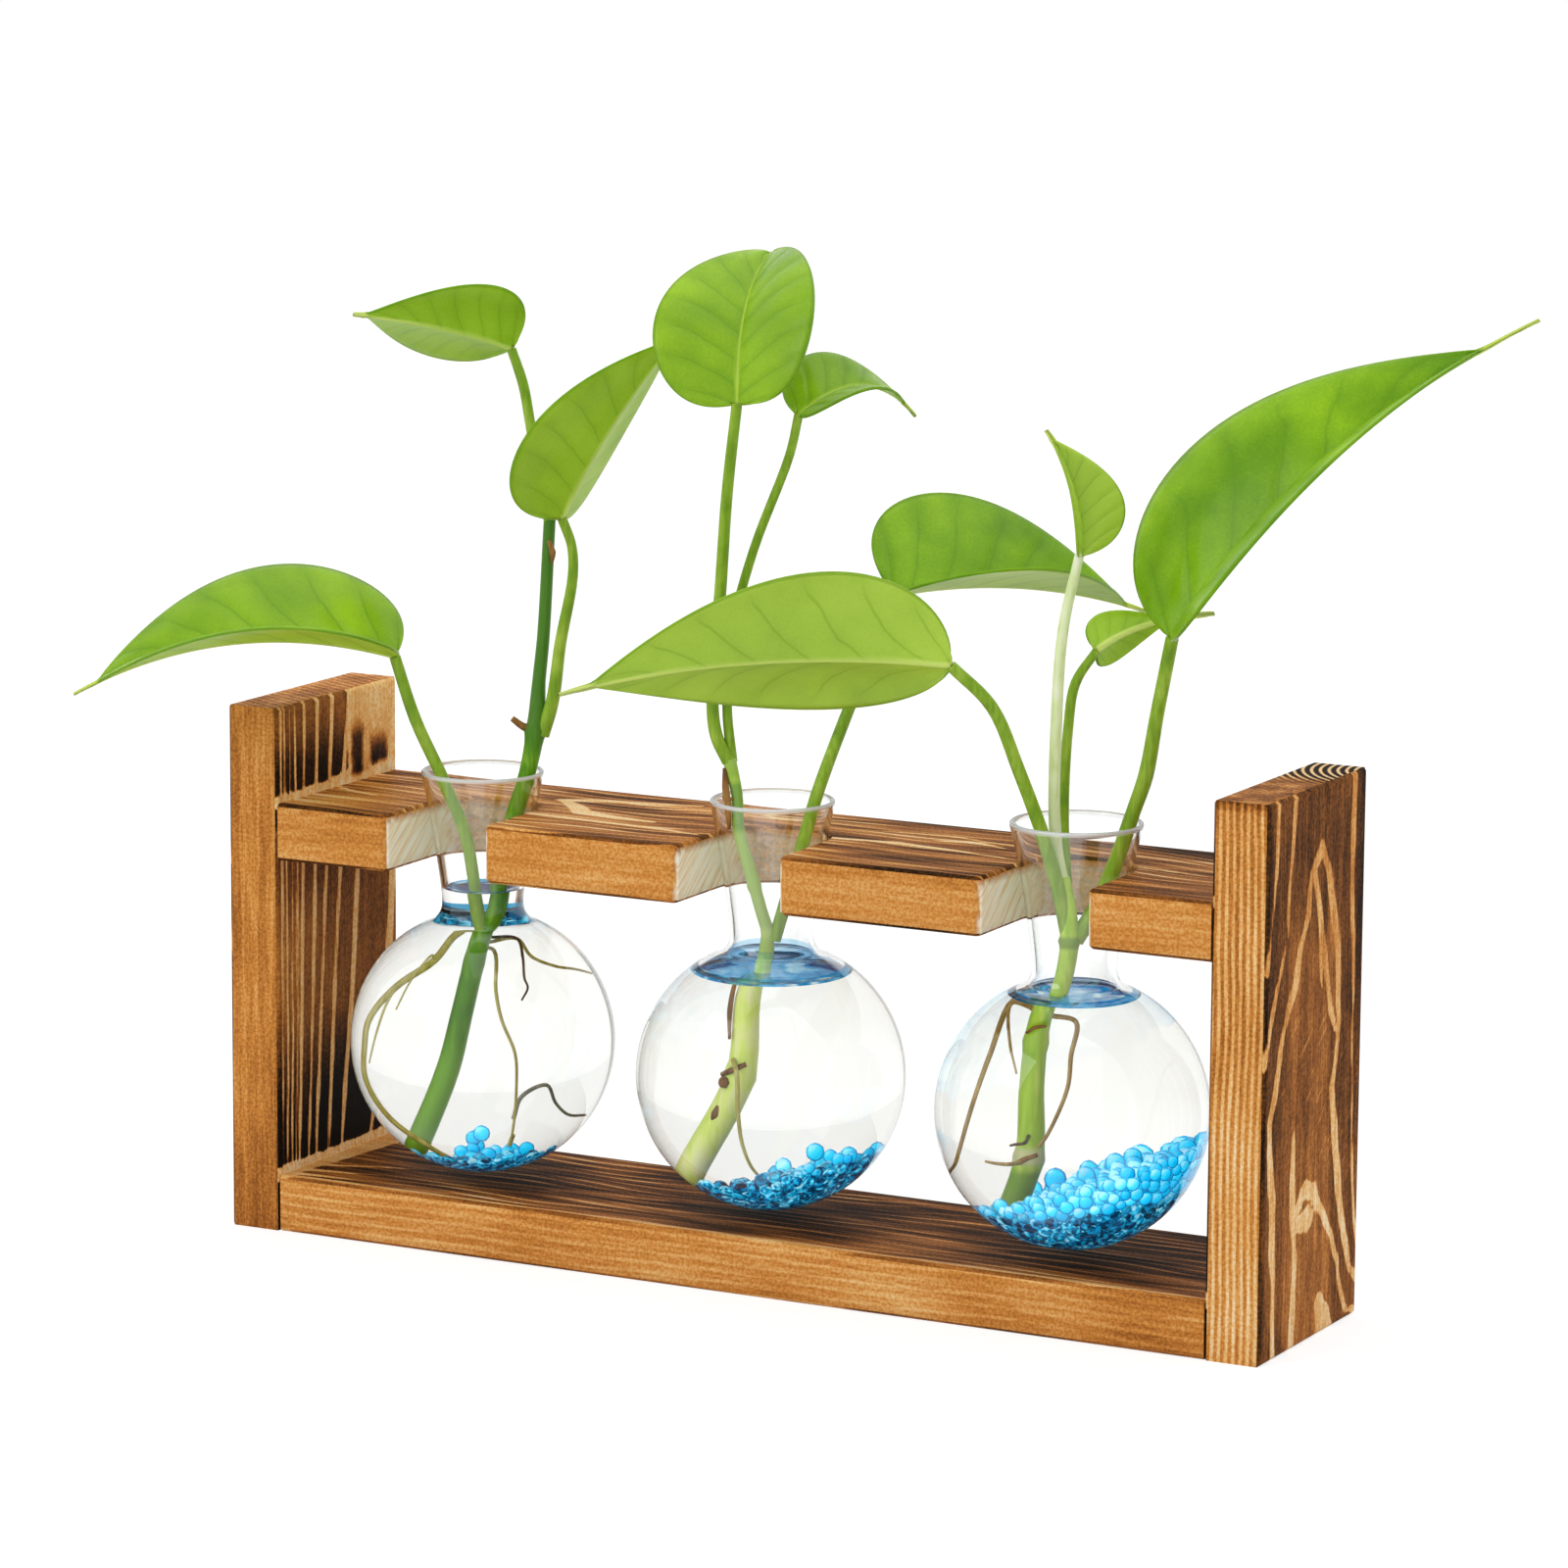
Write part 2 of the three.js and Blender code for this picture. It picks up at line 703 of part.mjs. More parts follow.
for (const planting of plantings) {
  const { side, slot, leaves } = planting;
  const placed = (solid) => toGeometry(solid.translate([slot * vasePitch, slotAxisY, 0]));
  const lines = glassLines(planting.rimRadius, planting.rimRise);
  const raised = ([x, y, z, radius]) => insideGlass(lines.inner, [x, y, railTopHeight + z, radius]);
  const sunk = ([x, y, z, radius]) => [x * bulbInner, y * bulbInner, bulbCentre + z * bulbInner, radius];
  add(`vase_${side}`, glassVase(lines).translate(slot * vasePitch, slotAxisY, 0), GLASS);

  const stemRoutes = [
    [...planting.stemInBulb.map(sunk), ...planting.stem.map(raised)],
    ...planting.stubs.map((stub) => stub.map(raised)),
  ];
  const stem = (extra) => stemRoutes.map((route) => toSolid(rod(route, extra))).reduce((a, b) => a.add(b));
  add(`stem_${side}`, placed(stem(0)), STEM);
  add(`beads_${side}`, placed(mainBody(beadBed(...planting.bed).subtract(stem(organGap)))), BEADS);

  // Each stalk stops short of the stem, of the stalks before it and of its own blade.
  let taken = stem(organGap);
  for (const [leafName, leaf] of Object.entries(leaves)) {
    const route = leaf.stalk.map(raised);
    const place = { ...leaf, base: route.at(-1).slice(0, 3), tip: raised(leaf.tip).slice(0, 3) };
    const stalk = (extra) => toSolid(rod(route, extra));
    add(`blade_${side}_${leafName}`, placed(toSolid(blade(place))), LEAF);
    add(
      `stalk_${side}_${leafName}`,
      placed(mainBody(stalk(0).subtract(taken).subtract(toSolid(blade(place, bladeGap))))),
      STALK,
    );
    taken = taken.add(stalk(organGap));
  }
}

export default part;
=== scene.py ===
"""Hydroponic vase stand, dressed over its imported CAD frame: torched boards, three hanging glass vases with
water and gel beads, and a leafy cutting in each. Written in millimetres and scaled as meshes are made."""

import math
import random

import bmesh
import bpy
import numpy as np
from mathutils import Matrix, Vector, noise


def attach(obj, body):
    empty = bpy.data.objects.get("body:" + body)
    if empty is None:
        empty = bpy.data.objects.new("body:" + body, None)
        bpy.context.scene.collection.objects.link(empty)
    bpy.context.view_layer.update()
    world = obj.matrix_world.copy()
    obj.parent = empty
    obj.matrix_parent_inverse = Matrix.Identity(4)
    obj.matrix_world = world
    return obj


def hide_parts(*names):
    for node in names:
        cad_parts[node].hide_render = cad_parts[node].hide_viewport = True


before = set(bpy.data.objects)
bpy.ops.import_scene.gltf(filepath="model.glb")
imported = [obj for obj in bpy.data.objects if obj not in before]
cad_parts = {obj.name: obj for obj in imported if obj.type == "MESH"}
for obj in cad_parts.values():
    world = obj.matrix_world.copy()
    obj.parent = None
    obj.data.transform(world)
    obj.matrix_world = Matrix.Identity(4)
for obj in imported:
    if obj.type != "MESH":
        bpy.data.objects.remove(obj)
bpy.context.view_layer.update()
MM = 0.001

# ----------------------------------------
# Camera: the viewpoint that lines up the boards' corners with the photograph, from the front right and a
# little above, through a long lens.
turn, lift, tilt = (math.radians(angle) for angle in (27.6466, 10.1805, 0.3708))
viewpoint = Vector((766.85, -1463.46, 425.33)) * MM


def placed(name, data):
    """A new object of the scene, made of this data."""
    piece = bpy.data.objects.new(name, data)
    bpy.context.collection.objects.link(piece)
    return piece


toward_viewer = Vector((math.sin(turn) * math.cos(lift), -math.cos(turn) * math.cos(lift), math.sin(lift)))
rightward = Vector((math.cos(turn), math.sin(turn), 0))
upward = toward_viewer.cross(rightward)
frame_right = math.cos(tilt) * rightward + math.sin(tilt) * upward
frame_up = math.cos(tilt) * upward - math.sin(tilt) * rightward
lens = bpy.data.cameras.new("camera")
lens.lens, lens.sensor_width, lens.sensor_fit = 149.1217, 36, "HORIZONTAL"
lens.clip_start, lens.clip_end = 0.05, 30
camera = placed("camera", lens)
axes = Matrix((frame_right, frame_up, toward_viewer)).transposed().to_4x4()
camera.matrix_world = Matrix.Translation(viewpoint) @ axes
bpy.context.scene.camera = camera


# ----------------------------------------
# Floor and light: a white sweep that fades into a white surround, one soft lamp from the upper left and a
# wide one overhead. Glass and the camera see the surround as white.
class Output:
    """A shader node's output. As a value, it adds, subtracts and multiplies as a number does."""

    def __init__(self, node, name=0):
        self.node, self.tree, self.name = node, node.id_data, name

    def __getitem__(self, name):
        return Output(self.node, name)

    def __add__(self, other):
        return calc("ADD", self, other)

    def __sub__(self, other):
        return calc("SUBTRACT", self, other)

    def __mul__(self, other):
        return calc("MULTIPLY", self, other)


def feed(node, sockets):
    """Links each named socket to the output given for it, or sets it to a plain value."""
    for name, value in sockets.items():
        if isinstance(value, Output):
            node.id_data.links.new(value.node.outputs[value.name], node.inputs[name])
        else:
            node.inputs[name].default_value = value


def shade(tree, kind, sockets=None, **settings):
    """Adds a shader node of a kind, with its settings and sockets, and gives its first output."""
    node = tree.nodes.new("ShaderNode" + kind)
    for name, value in settings.items():
        setattr(node, name, value)
    feed(node, sockets or {})
    return Output(node)


def calc(operation, *values):
    return shade(values[0].tree, "Math", dict(enumerate(values)), operation=operation)


def eased(value, low, high, out_low=0.0, out_high=1.0):
    """The value carried smoothly from one range to another."""
    sockets = {"Value": value, "From Min": low, "From Max": high, "To Min": out_low, "To Max": out_high}
    return shade(value.tree, "MapRange", sockets, interpolation_type="SMOOTHSTEP")


def finish_named(name):
    """A new material: its tree, its Principled shader and its output."""
    material = bpy.data.materials.new(name)
    material.use_nodes = True
    tree = material.node_tree
    return material, tree, tree.nodes["Principled BSDF"], tree.nodes["Material Output"]


def grey(level):
    return (level, level, level, 1)


def deselect():
    for each in bpy.context.selected_objects:
        each.select_set(False)


def seen_white(tree):
    """1 for what the camera, glossy and glass rays look at, 0 for what lights the object."""
    rays = shade(tree, "LightPath")
    either = calc("MAXIMUM", rays["Is Camera Ray"], rays["Is Glossy Ray"])
    return calc("MAXIMUM", either, rays["Is Transmission Ray"])


deselect()
bpy.ops.mesh.primitive_grid_add(x_subdivisions=8, y_subdivisions=8, size=6, location=(0, 0, 0))
floor = bpy.context.object
floor.name = "floor"
white, tree, plain, output = finish_named("floor_white")
tree.nodes.remove(plain)
matt = shade(tree, "BsdfDiffuse", {"Color": grey(0.8)})
shadowed = shade(tree, "BsdfDiffuse", {"Color": grey(0.4)})
lit = shade(tree, "Emission", {"Color": grey(0.72), "Strength": 1})
shown = shade(tree, "AddShader", {0: shadowed, 1: lit})
feed(output, {"Surface": shade(tree, "MixShader", {0: seen_white(tree), 1: matt, 2: shown})})
floor.data.materials.append(white)

surround = bpy.data.worlds.new("surround")
surround.use_nodes = True
bpy.context.scene.world = surround
tree = surround.node_tree
tree.nodes.clear()
glow = shade(tree, "Background", {"Color": grey(0.84), "Strength": 1})
bright = shade(tree, "Background", {"Color": grey(1), "Strength": 1})
sky = shade(tree, "MixShader", {0: seen_white(tree), 1: glow, 2: bright})
feed(tree.nodes.new("ShaderNodeOutputWorld"), {"Surface": sky})


def soft_lamp(name, place, aim, size, power):
    lamp = bpy.data.lights.new(name, "AREA")
    lamp.shape, lamp.size, lamp.energy = "SQUARE", size, power
    holder = placed(name, lamp)
    holder.location = place
    holder.rotation_euler = (Vector(aim) - Vector(place)).to_track_quat("-Z", "Y").to_euler()


soft_lamp("window_lamp", (-1.1, -1.5, 1.5), (0, 0, 0.1), 1.1, 9.5)
soft_lamp("overhead_lamp", (0.3, 0.2, 1.9), (0, 0, 0.1), 1.6, 6)
bpy.context.scene.view_settings.view_transform = "Standard"

# ----------------------------------------
# End boards: two planed softwood boards on end, grain upright, torched and brushed so that the hard rings
# stand pale and proud of the charred wood. They stand on their end grain and carry the other two boards.
BOARD_FRONT, BASE_TOP, RAIL_TOP = -30.5, 15.2, 116
# What a board's figure says of a face's corner, where it says nothing else: the count of rings up to there
# and the mm between two, how far a ring stands out, how burnt the wood is, the mm to a pale band and how
# burnt the band is, and how flecked, freshly sawn and scuffed the wood is there.
GRAIN = {"rings": 0, "gap": 3, "lift": 0, "burn": 0.5, "band": 9, "raw": 0.14, "fleck": 1, "sawn": 0, "worn": 0}


def drift(x, y, z, size, seed=0):
    """A slow wander between -1 and 1."""
    return noise.noise(Vector((x / size + seed * 7.3, y / size, z / size - seed * 3.1)))


def near(value, low, high):
    """0 at low, 1 at high, smooth between."""
    share = min(max((value - low) / (high - low), 0), 1)
    return share * share * (3 - 2 * share)


def to_line(u, v, line):
    """How far a point lies outside a drawn line of (u, v, width) points; below 0 within its width."""
    best = 99
    for (u0, v0, w0), (u1, v1, w1) in zip(line, line[1:]):
        du, dv = u1 - u0, v1 - v0
        t = min(max(((u - u0) * du + (v - v0) * dv) / (du * du + dv * dv), 0), 1)
        best = min(best, math.hypot(u - u0 - t * du, v - v0 - t * dv) - (w0 + (w1 - w0) * t) / 2)
    return best


def only(piece):
    """Makes a piece the active one and the only one selected."""
    deselect()
    bpy.context.view_layer.objects.active = piece
    piece.select_set(True)


def mark(mesh, key, values, domain="POINT"):
    """Stores the values that a finish reads by their key."""
    mesh.attributes.new(key, "FLOAT", domain).data.foreach_set("value", values)


def wood_piece(node, name, figure, steps, finish):
    """A copy of a board's CAD solid, cut finely enough to carry its grain figure on the faces' corners."""
    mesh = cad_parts[node].data.copy()
    board = placed(name, mesh)
    shape = bmesh.new()
    shape.from_mesh(mesh)
    bmesh.ops.remove_doubles(shape, verts=shape.verts, dist=1e-6)
    for axis, step in enumerate(steps):
        places = [v.co[axis] / MM for v in shape.verts]
        low, high = min(places), max(places)
        straight = Vector([k == axis for k in range(3)])
        for k in range(1, int((high - low) / step)):
            cut = straight * ((low + k * step) * MM)
            whole = shape.verts[:] + shape.edges[:] + shape.faces[:]
            bmesh.ops.bisect_plane(shape, geom=whole, dist=1e-6, plane_co=cut, plane_no=straight)
    bmesh.ops.recalc_face_normals(shape, faces=shape.faces)
    shape.to_mesh(mesh)
    shape.free()
    marks = {key: np.full(len(mesh.loops), float(value)) for key, value in GRAIN.items()}
    for face in mesh.polygons:
        for corner in face.loop_indices:
            place = mesh.vertices[mesh.loops[corner].vertex_index].co / MM
            for key, value in figure(place.x, place.y, place.z, face.normal).items():
                marks[key][corner] = value
    for key, values in marks.items():
        mark(mesh, key, values, "CORNER")
    mesh.materials.clear()
    mesh.materials.append(finish)
    only(board)
    bpy.ops.object.shade_smooth_by_angle(angle=math.radians(35))
    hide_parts(node)
    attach(board, "stand")


def tint(red, green, blue):
    """A colour as it looks, 0 to 255, as the shader wants it."""
    return tuple(((c / 255 + 0.055) / 1.055) ** 2.4 if c > 10 else c / 3294 for c in (red, green, blue)) + (1,)


def colours(value, *stops):
    """A colour ramp through (place, (red, green, blue)) stops."""
    ramp = shade(value.tree, "ValToRGB", {"Fac": value})
    elements = ramp.node.color_ramp.elements
    while len(elements) < len(stops):
        elements.new(0.5)
    for element, (place, colour) in zip(elements, stops):
        element.position, element.color = place, tint(*colour)
    return ramp


def blended(share, first, second):
    """The first colour at a share of 0, the second at 1."""
    return shade(share.tree, "Mix", {"Factor": share, 6: first, 7: second}, data_type="RGBA")[2]


def on_piece(tree):
    """The place on the piece, for its patterns."""
    return shade(tree, "TexCoord")["Object"]


def carried(tree, key):
    """The value that the mesh carries under this key."""
    return shade(tree, "Attribute", attribute_name=key)["Fac"]


def drawn_out(place, scale):
    """The place for a pattern that runs long where the scale is small."""
    return shade(place.tree, "Mapping", {"Vector": place, "Scale": scale})


def patchy(place, scale, detail=2.0, distort=0.0):
    """A random pattern between 0 and 1, finer for a larger scale."""
    sockets = {"Vector": place, "Scale": scale, "Detail": detail, "Distortion": distort}
    return shade(place.tree, "TexNoise", sockets)


def relief(height, strength, distance=0.0004):
    """A fine relief for a surface's Normal."""
    return shade(height.tree, "Bump", {"Height": height, "Strength": strength, "Distance": distance})


def torched_wood(name, stretch):
    """Torched softwood whose fibres run where stretch is small."""
    material, tree, surface, _ = finish_named(name)
    place = on_piece(tree)
    along = drawn_out(place, stretch)
    tilted = {"Vector": place, "Rotation": (0.68, 0, 0), "Scale": (1, 18, 1)}
    saw_lines = patchy(shade(tree, "Mapping", tilted, vector_type="TEXTURE"), 1100)
    fine, broad, pores = patchy(along, 1500), patchy(along, 300, 3, 0.4), patchy(place, 1250, 1)
    fleck, lift = carried(tree, "fleck"), carried(tree, "lift")
    ragged = (fine - 0.5) * fleck * 0.6
    ring = calc("FRACT", carried(tree, "rings") + 0.5)
    ridge = eased(calc("ABSOLUTE", ring - 0.5) * carried(tree, "gap") + ragged, 0.7, 0.2)
    pale = eased(carried(tree, "band") + (broad - 0.5) * 1.3 + ragged, 0.35, -0.35)
    speck = (eased(fine, 0.3, 0.7, -0.07, 0.07) + eased(broad, 0.3, 0.7, -0.07, 0.07)) * fleck
    speck = speck + eased(pores, 0.35, 0.68, -0.06, 0.06)
    burn = carried(tree, "burn") - ridge * lift
    burn = burn + (carried(tree, "raw") - burn) * pale + speck
    burn = burn - eased(saw_lines, 0.62, 0.7, 0, 0.24) * carried(tree, "worn")
    toasted = colours(
        burn, (0, (250, 228, 188)), (0.16, (238, 188, 118)), (0.34, (210, 138, 62)), (0.52, (160, 96, 40)),
        (0.7, (106, 62, 25)), (0.88, (50, 29, 12)), (1, (18, 12, 6)),
    )
    sawn = colours(saw_lines, (0.32, (238, 204, 162)), (0.5, (255, 240, 210)), (0.66, (255, 250, 236)))
    wood = {
        "Base Color": blended(carried(tree, "sawn"), toasted, sawn),
        "Roughness": eased(burn, 0.2, 0.9, 0.5, 0.7),
        "Specular IOR Level": 0.06,
        "Normal": relief(calc("MAXIMUM", ridge * lift, pale) + fine * 0.3, 0.5),
    }
    feed(surface, wood)
    return material


upright_wood = torched_wood("torched_wood_upright", (1, 1, 0.06))
# Pale hard rings of the arched figure: distance from the front edge, height and width of each line's points.
arch_lines = (
    ((5.6, 142, 2.4), (5, 126, 2.2), (2.5, 110, 2), (0.5, 99, 1.4)),
    ((16.9, 142, 2.2), (15, 131, 2.2), (12.8, 119, 2.5), (13, 106, 2.2)),
    ((11.2, 104, 2), (7.5, 96.5, 2.6), (2.2, 85, 2.6), (0.2, 75, 1.8)),
    ((33.5, 126, 3.2), (26.9, 120, 3.2), (25, 110, 3.2), (20.6, 102, 3.5), (18.5, 94, 4), (13.8, 88.4, 3.2)),
    ((13.8, 88.4, 3.2), (9.4, 78.4, 3), (6.5, 68, 3.6), (3.5, 61, 3), (3.5, 53, 3.6), (5.5, 41.5, 3.5)),
    ((5.5, 41.5, 3.5), (6, 29, 3.2), (6.9, 13, 3), (8.2, -1, 3)),
    ((33.5, 126, 3.8), (37.2, 119, 4.2), (41, 109, 3.8), (43.8, 99, 3.2), (45.2, 89, 3), (46, 79, 3.6)),
    ((46, 79, 3.6), (45.2, 71.5, 3.2), (42.5, 63, 3.5), (45, 49, 4.5), (48, 35, 4.2), (52.5, 21.5, 3.6)),
    ((52.5, 21.5, 3.6), (56.2, 12.8, 2.8), (61.5, 9, 2.2)),
    ((28.5, 120, 2.5), (32.2, 110, 3.2), (35.2, 100, 3.8), (37.8, 91.5, 3.6), (40.2, 83, 3.2), (43.5, 77.5, 2.4)),
    ((32.8, 100, 1.5), (34, 94, 1.8), (35, 89, 0.8)),
    ((53.5, 142, 3.8), (52.5, 129, 3.2), (53.1, 108, 3), (54.5, 91.5, 2), (55, 71.5, 1.7), (55.8, 54, 1.7)),
    ((55.8, 54, 1.7), (56.9, 35, 1.8), (58.8, 25, 2), (61.5, 18, 2.2)),
    ((18.8, 55, 2.2), (18.1, 46.5, 3.6), (18.8, 35, 3.8), (20.6, 23, 3.6), (20, 10, 3.6), (19.2, -1, 3.6)),
    ((21.2, 35, 3.8), (26.2, 40, 5), (31.2, 38, 5), (36.2, 33, 3.6), (43.8, 24, 2.8), (48, 16.5, 3)),
    ((48, 16.5, 3), (50.2, 9, 3), (53.8, 3, 2.5), (61, 0.6, 2)),
    ((22.5, 31.5, 5), (26.9, 31.5, 7), (30, 32, 5)),
    ((36.2, 8, 6), (38.8, 3, 10), (40, -2, 13)),
)
# Straight rings of the inner faces: distance from the front edge low down, half way and at the top; width.
straight_lines = (
    (1.5, 1.9, 1.9, 1.1), (3.8, 4.4, 3.8, 0.8), (6.2, 6.9, 6.5, 0.7), (8.2, 9.4, 9, 0.7),
    (9.8, 11.9, 13.4, 1.5), (14.4, 17.6, 19.8, 1.6), (18.1, 22.4, 26.9, 1.7), (24.4, 29.2, 34.8, 2),
    (31, 38.4, 43.5, 2.3), (46, 56.9, 59, 3.2),
)


def end_figure(side):
    """Grain figure of an end board: side -1 for the left board, 1 for the right one."""

    def upright_face(y, z):
        u, rise = y - BOARD_FRONT, (z - 72) / 56
        bands = []
        for low, half_way, high, width in straight_lines:
            at = half_way + (high - low) / 2 * rise + ((high + low) / 2 - half_way) * rise * rise
            at += 0.35 * drift(0, at, z, 17, 2)
            bands.append(abs(u - at) - width / 2 * (1 + 0.35 * drift(0, at * 3, z, 9, 3)) * near(z, 8, 30))
        burn = 0.6 + 0.09 * drift(0, y, z, 14, 2) + 0.5 * near(z, 56 + 0.3 * u, 18 + 0.1 * u)
        burn += 0.12 * near(z, 80, 100) * (z < 108) - 0.09 * near(z, 48, 62) * near(z, 86, 72) * near(u, 30, 10)
        raw = 0.2
        if z > 108:
            burn = 0.6 + 0.36 * near(z, 138, 122)
            if side < 0:
                bands.append(36 - u + 0.8 * drift(0, 0, z, 6, 4))
                for at, top, half, deep in ((40.6, 131, 3.4, 0.66), (51.5, 126.5, 5, 0.7), (46, 121, 7, 0.2)):
                    spread = max(1 - ((u - at + 0.9 * drift(0, y, z, 4, 6)) / half) ** 2, 0)
                    raw += deep * min(1.6 * spread, 1) * near(z, top + 3, top - 4)
        bands.append(abs(z - RAIL_TOP) - 1.5 - 0.05 * u + 0.4 * drift(0, y, 0, 5, 1))
        bands.append(abs(z - BASE_TOP) - 2.1 - 0.012 * u + 0.4 * drift(0, y, 0, 5, 7))
        if z < 18.5 or 113 < z < 116.5 + 0.05 * u:
            raw = 0.13
        return {"band": min(bands), "burn": burn, "raw": raw, "fleck": 0.6}

    def arched_face(y, z):
        u = y - BOARD_FRONT + 0.25 * drift(0, y, z, 5, 4)
        band = min(to_line(u, z, line) for line in arch_lines)
        inner = near(abs(u - 27 + 0.03 * (z - 60)), 17, 12) * near(z, 116, 100)
        burn = 0.72 - 0.13 * inner + 0.1 * drift(0, y, z * 0.4, 8, 3) - 0.08 * near(z, 72, 20)
        burn -= 0.2 * near(to_line(u, z, ((39, 117, 1), (42, 100, 1), (43, 84, 1))), 3, 0.5)
        burn += 0.2 * near(u, 52, 60) * near(z, 60, 90) + 0.12 * near(u, 4, 0.4)
        worn = near(abs(z - 78 + 0.4 * u), 34, 8)
        band += 0.15 + 0.9 * drift(0, y * 2, z * 0.5, 7, 9)
        raw = 0.15 + 0.16 * near(z, 40, 95) + 0.12 * drift(0, y, z, 10, 15)
        return {"band": band, "burn": burn, "raw": raw, "fleck": 1, "worn": worn}

    def figure(x, y, z, normal):
        if normal.x * side < -0.5:
            return upright_face(y, z)
        if normal.x * side > 0.5:
            return arched_face(y, z)
        if abs(normal.z) > 0.5:
            if side > 0:
                ring = (28 - math.hypot(x - 163, y - 30)) / 2.2
                black = near(y, 2, 12)
                burn = 0.56 + 0.44 * black + 0.22 * (1 - black) * drift(x, y, 0, 5, 6)
                lift, fleck = 0.08 + 0.86 * black, 1 - 0.7 * black
                return {"rings": ring, "gap": 2.2, "lift": lift, "burn": burn, "fleck": fleck}
            return {"rings": (y + 0.5 * x) / 3, "gap": 3, "lift": 0.16, "burn": 0.5 + 0.16 * drift(x, y, 0, 9)}
        if normal.y < -0.5:
            if side > 0:
                ring = (x - 135 + 0.9 * drift(x, 0, z, 34)) / 1.9
                burn = 0.4 + 0.12 * drift(x, 0, z, 22) + 0.3 * near(z, 139, 141.4)
                return {"rings": ring, "gap": 1.9, "lift": 0.23, "burn": burn, "fleck": 0.6}
            ring = (x + 150 + 0.9 * drift(x, 0, z, 30)) / 4.4
            burn = 0.41 + 0.1 * drift(x, 0, z, 20, 5) + 0.12 * near(z, 40, 6)
            return {"rings": ring, "gap": 4.4, "lift": 0.07, "burn": burn, "fleck": 0.7}
        return {"rings": (x + 150 + 0.9 * drift(x, 0, z, 30)) / 3.1, "gap": 3.1, "lift": 0.2, "burn": 0.55}

    return figure


for side, name in ((-1, "left"), (1, "right")):
    wood_piece(f"end_board_{name}", f"torched_end_board_{name}", end_figure(side), (2, 0.9, 1.8), upright_wood)

# ----------------------------------------
# Base board: a planed board laid flat between the end boards' feet, butted to them and dowelled, torched
# dark on top with fine pale rings, and with painted shadow darkest under the vases, which hang one PITCH apart.
PITCH = 86.5
long_wood = torched_wood("torched_wood_long", (0.06, 1, 1))


def base_figure(x, y, z, normal):
    if abs(normal.z) > 0.5:
        hump = 5 * math.exp(-(((x - 42) / 22) ** 2)) * near(y, -14, 14)
        ring = (y - hump + 1.6 * drift(x, y, 0, 60, 8)) / 4.1 + 0.9 * drift(x * 0.3, y, 0, 12, 5)
        band = min(abs(y + 28.6 + 0.5 * drift(x, 0, 0, 12)) - 0.7, x + 132.6 - 0.12 * (y + 30))
        for low, rise in ((-26, 0.07), (-21, 0.16), (-15, 0.3)):
            off = abs(y - low - rise * (x + 134) + 0.8 * drift(x, y, 0, 9, 6))
            band = min(band, off - 1.0 * near(x, -84 + low, -130))
        burn = 0.66 + 0.3 * drift(x * 0.16, y, 0, 4.5, 9) - 0.14 * near(y, -23, -29) + 0.1 * near(y, -20, 0)
        burn += 0.12 * drift(x * 0.1, y, 0, 1.6, 3)
        # Painted shadow: the top is darker under each vase, where the vases' shadow falls.
        aside = min(abs(x), abs(abs(x) - PITCH))
        burn += 0.2 * math.exp(-((aside / 24) ** 2) - ((y + 8) / 12) ** 2)
        lift = 0.26 + 0.4 * drift(x * 0.3, y, 0, 9, 2)
        return {"rings": ring, "gap": 4.1, "lift": lift, "burn": burn, "band": band, "raw": 0.24, "fleck": 0.8}
    if abs(normal.y) > 0.5:
        ring = (z + 1.2 * drift(x, 0, z, 50, 3)) / 2.7
        burn = 0.34 + 0.22 * near(z, BASE_TOP - 1, BASE_TOP) + 0.13 * drift(x * 0.4, 0, z, 14)
        burn += 0.08 * near(x, 70, 130)
        return {"rings": ring, "gap": 2.7, "lift": 0.08, "burn": burn, "fleck": 0.6}
    return {"burn": 0.6}


wood_piece("base_board", "torched_base_board", base_figure, (4, 0.9, 4), long_wood)

# ----------------------------------------
# Vase rail: a planed board dowelled between the end boards, with three U-shaped slots sawn and drilled from
# its front edge after torching, so that the slots' walls are raw and pale.

# The pale flames on the rail's top: place along the rail, from the front to the back, and width.
flame_lines = (
    ((-73, 11.5, 3), (-64, 15.5, 4.5), (-52, 18, 3), (-36, 22, 2)),
    ((-71, 11, 3), (-64, 5, 5), (-59, -1, 5.5), (-48, -3.5, 3.5), (-36, -4.2, 2)),
    ((-73, -9.4, 1.6), (-57, -10.2, 2.4), (-41, -11.6, 2), (-27, -12.4, 2), (-17, -14, 1.2)),
    ((-135, 0, 2.4), (-128, -4, 2), (-118, -6.4, 1.2)),
    ((14, -1, 1.6), (32, 1.5, 2), (50, -1, 1.4), (70, -5, 1)),
    ((14, 13, 1), (40, 16, 1.4), (62, 12, 1)),
    ((40, 9, 1.4), (50, 11, 2.6), (60, 8, 1)),
    ((100, 2, 1.2), (118, -1, 1.6), (135, -2, 1.2)),
    ((-20, 21, 1), (-10, 17, 2), (2, 20, 1)),
)


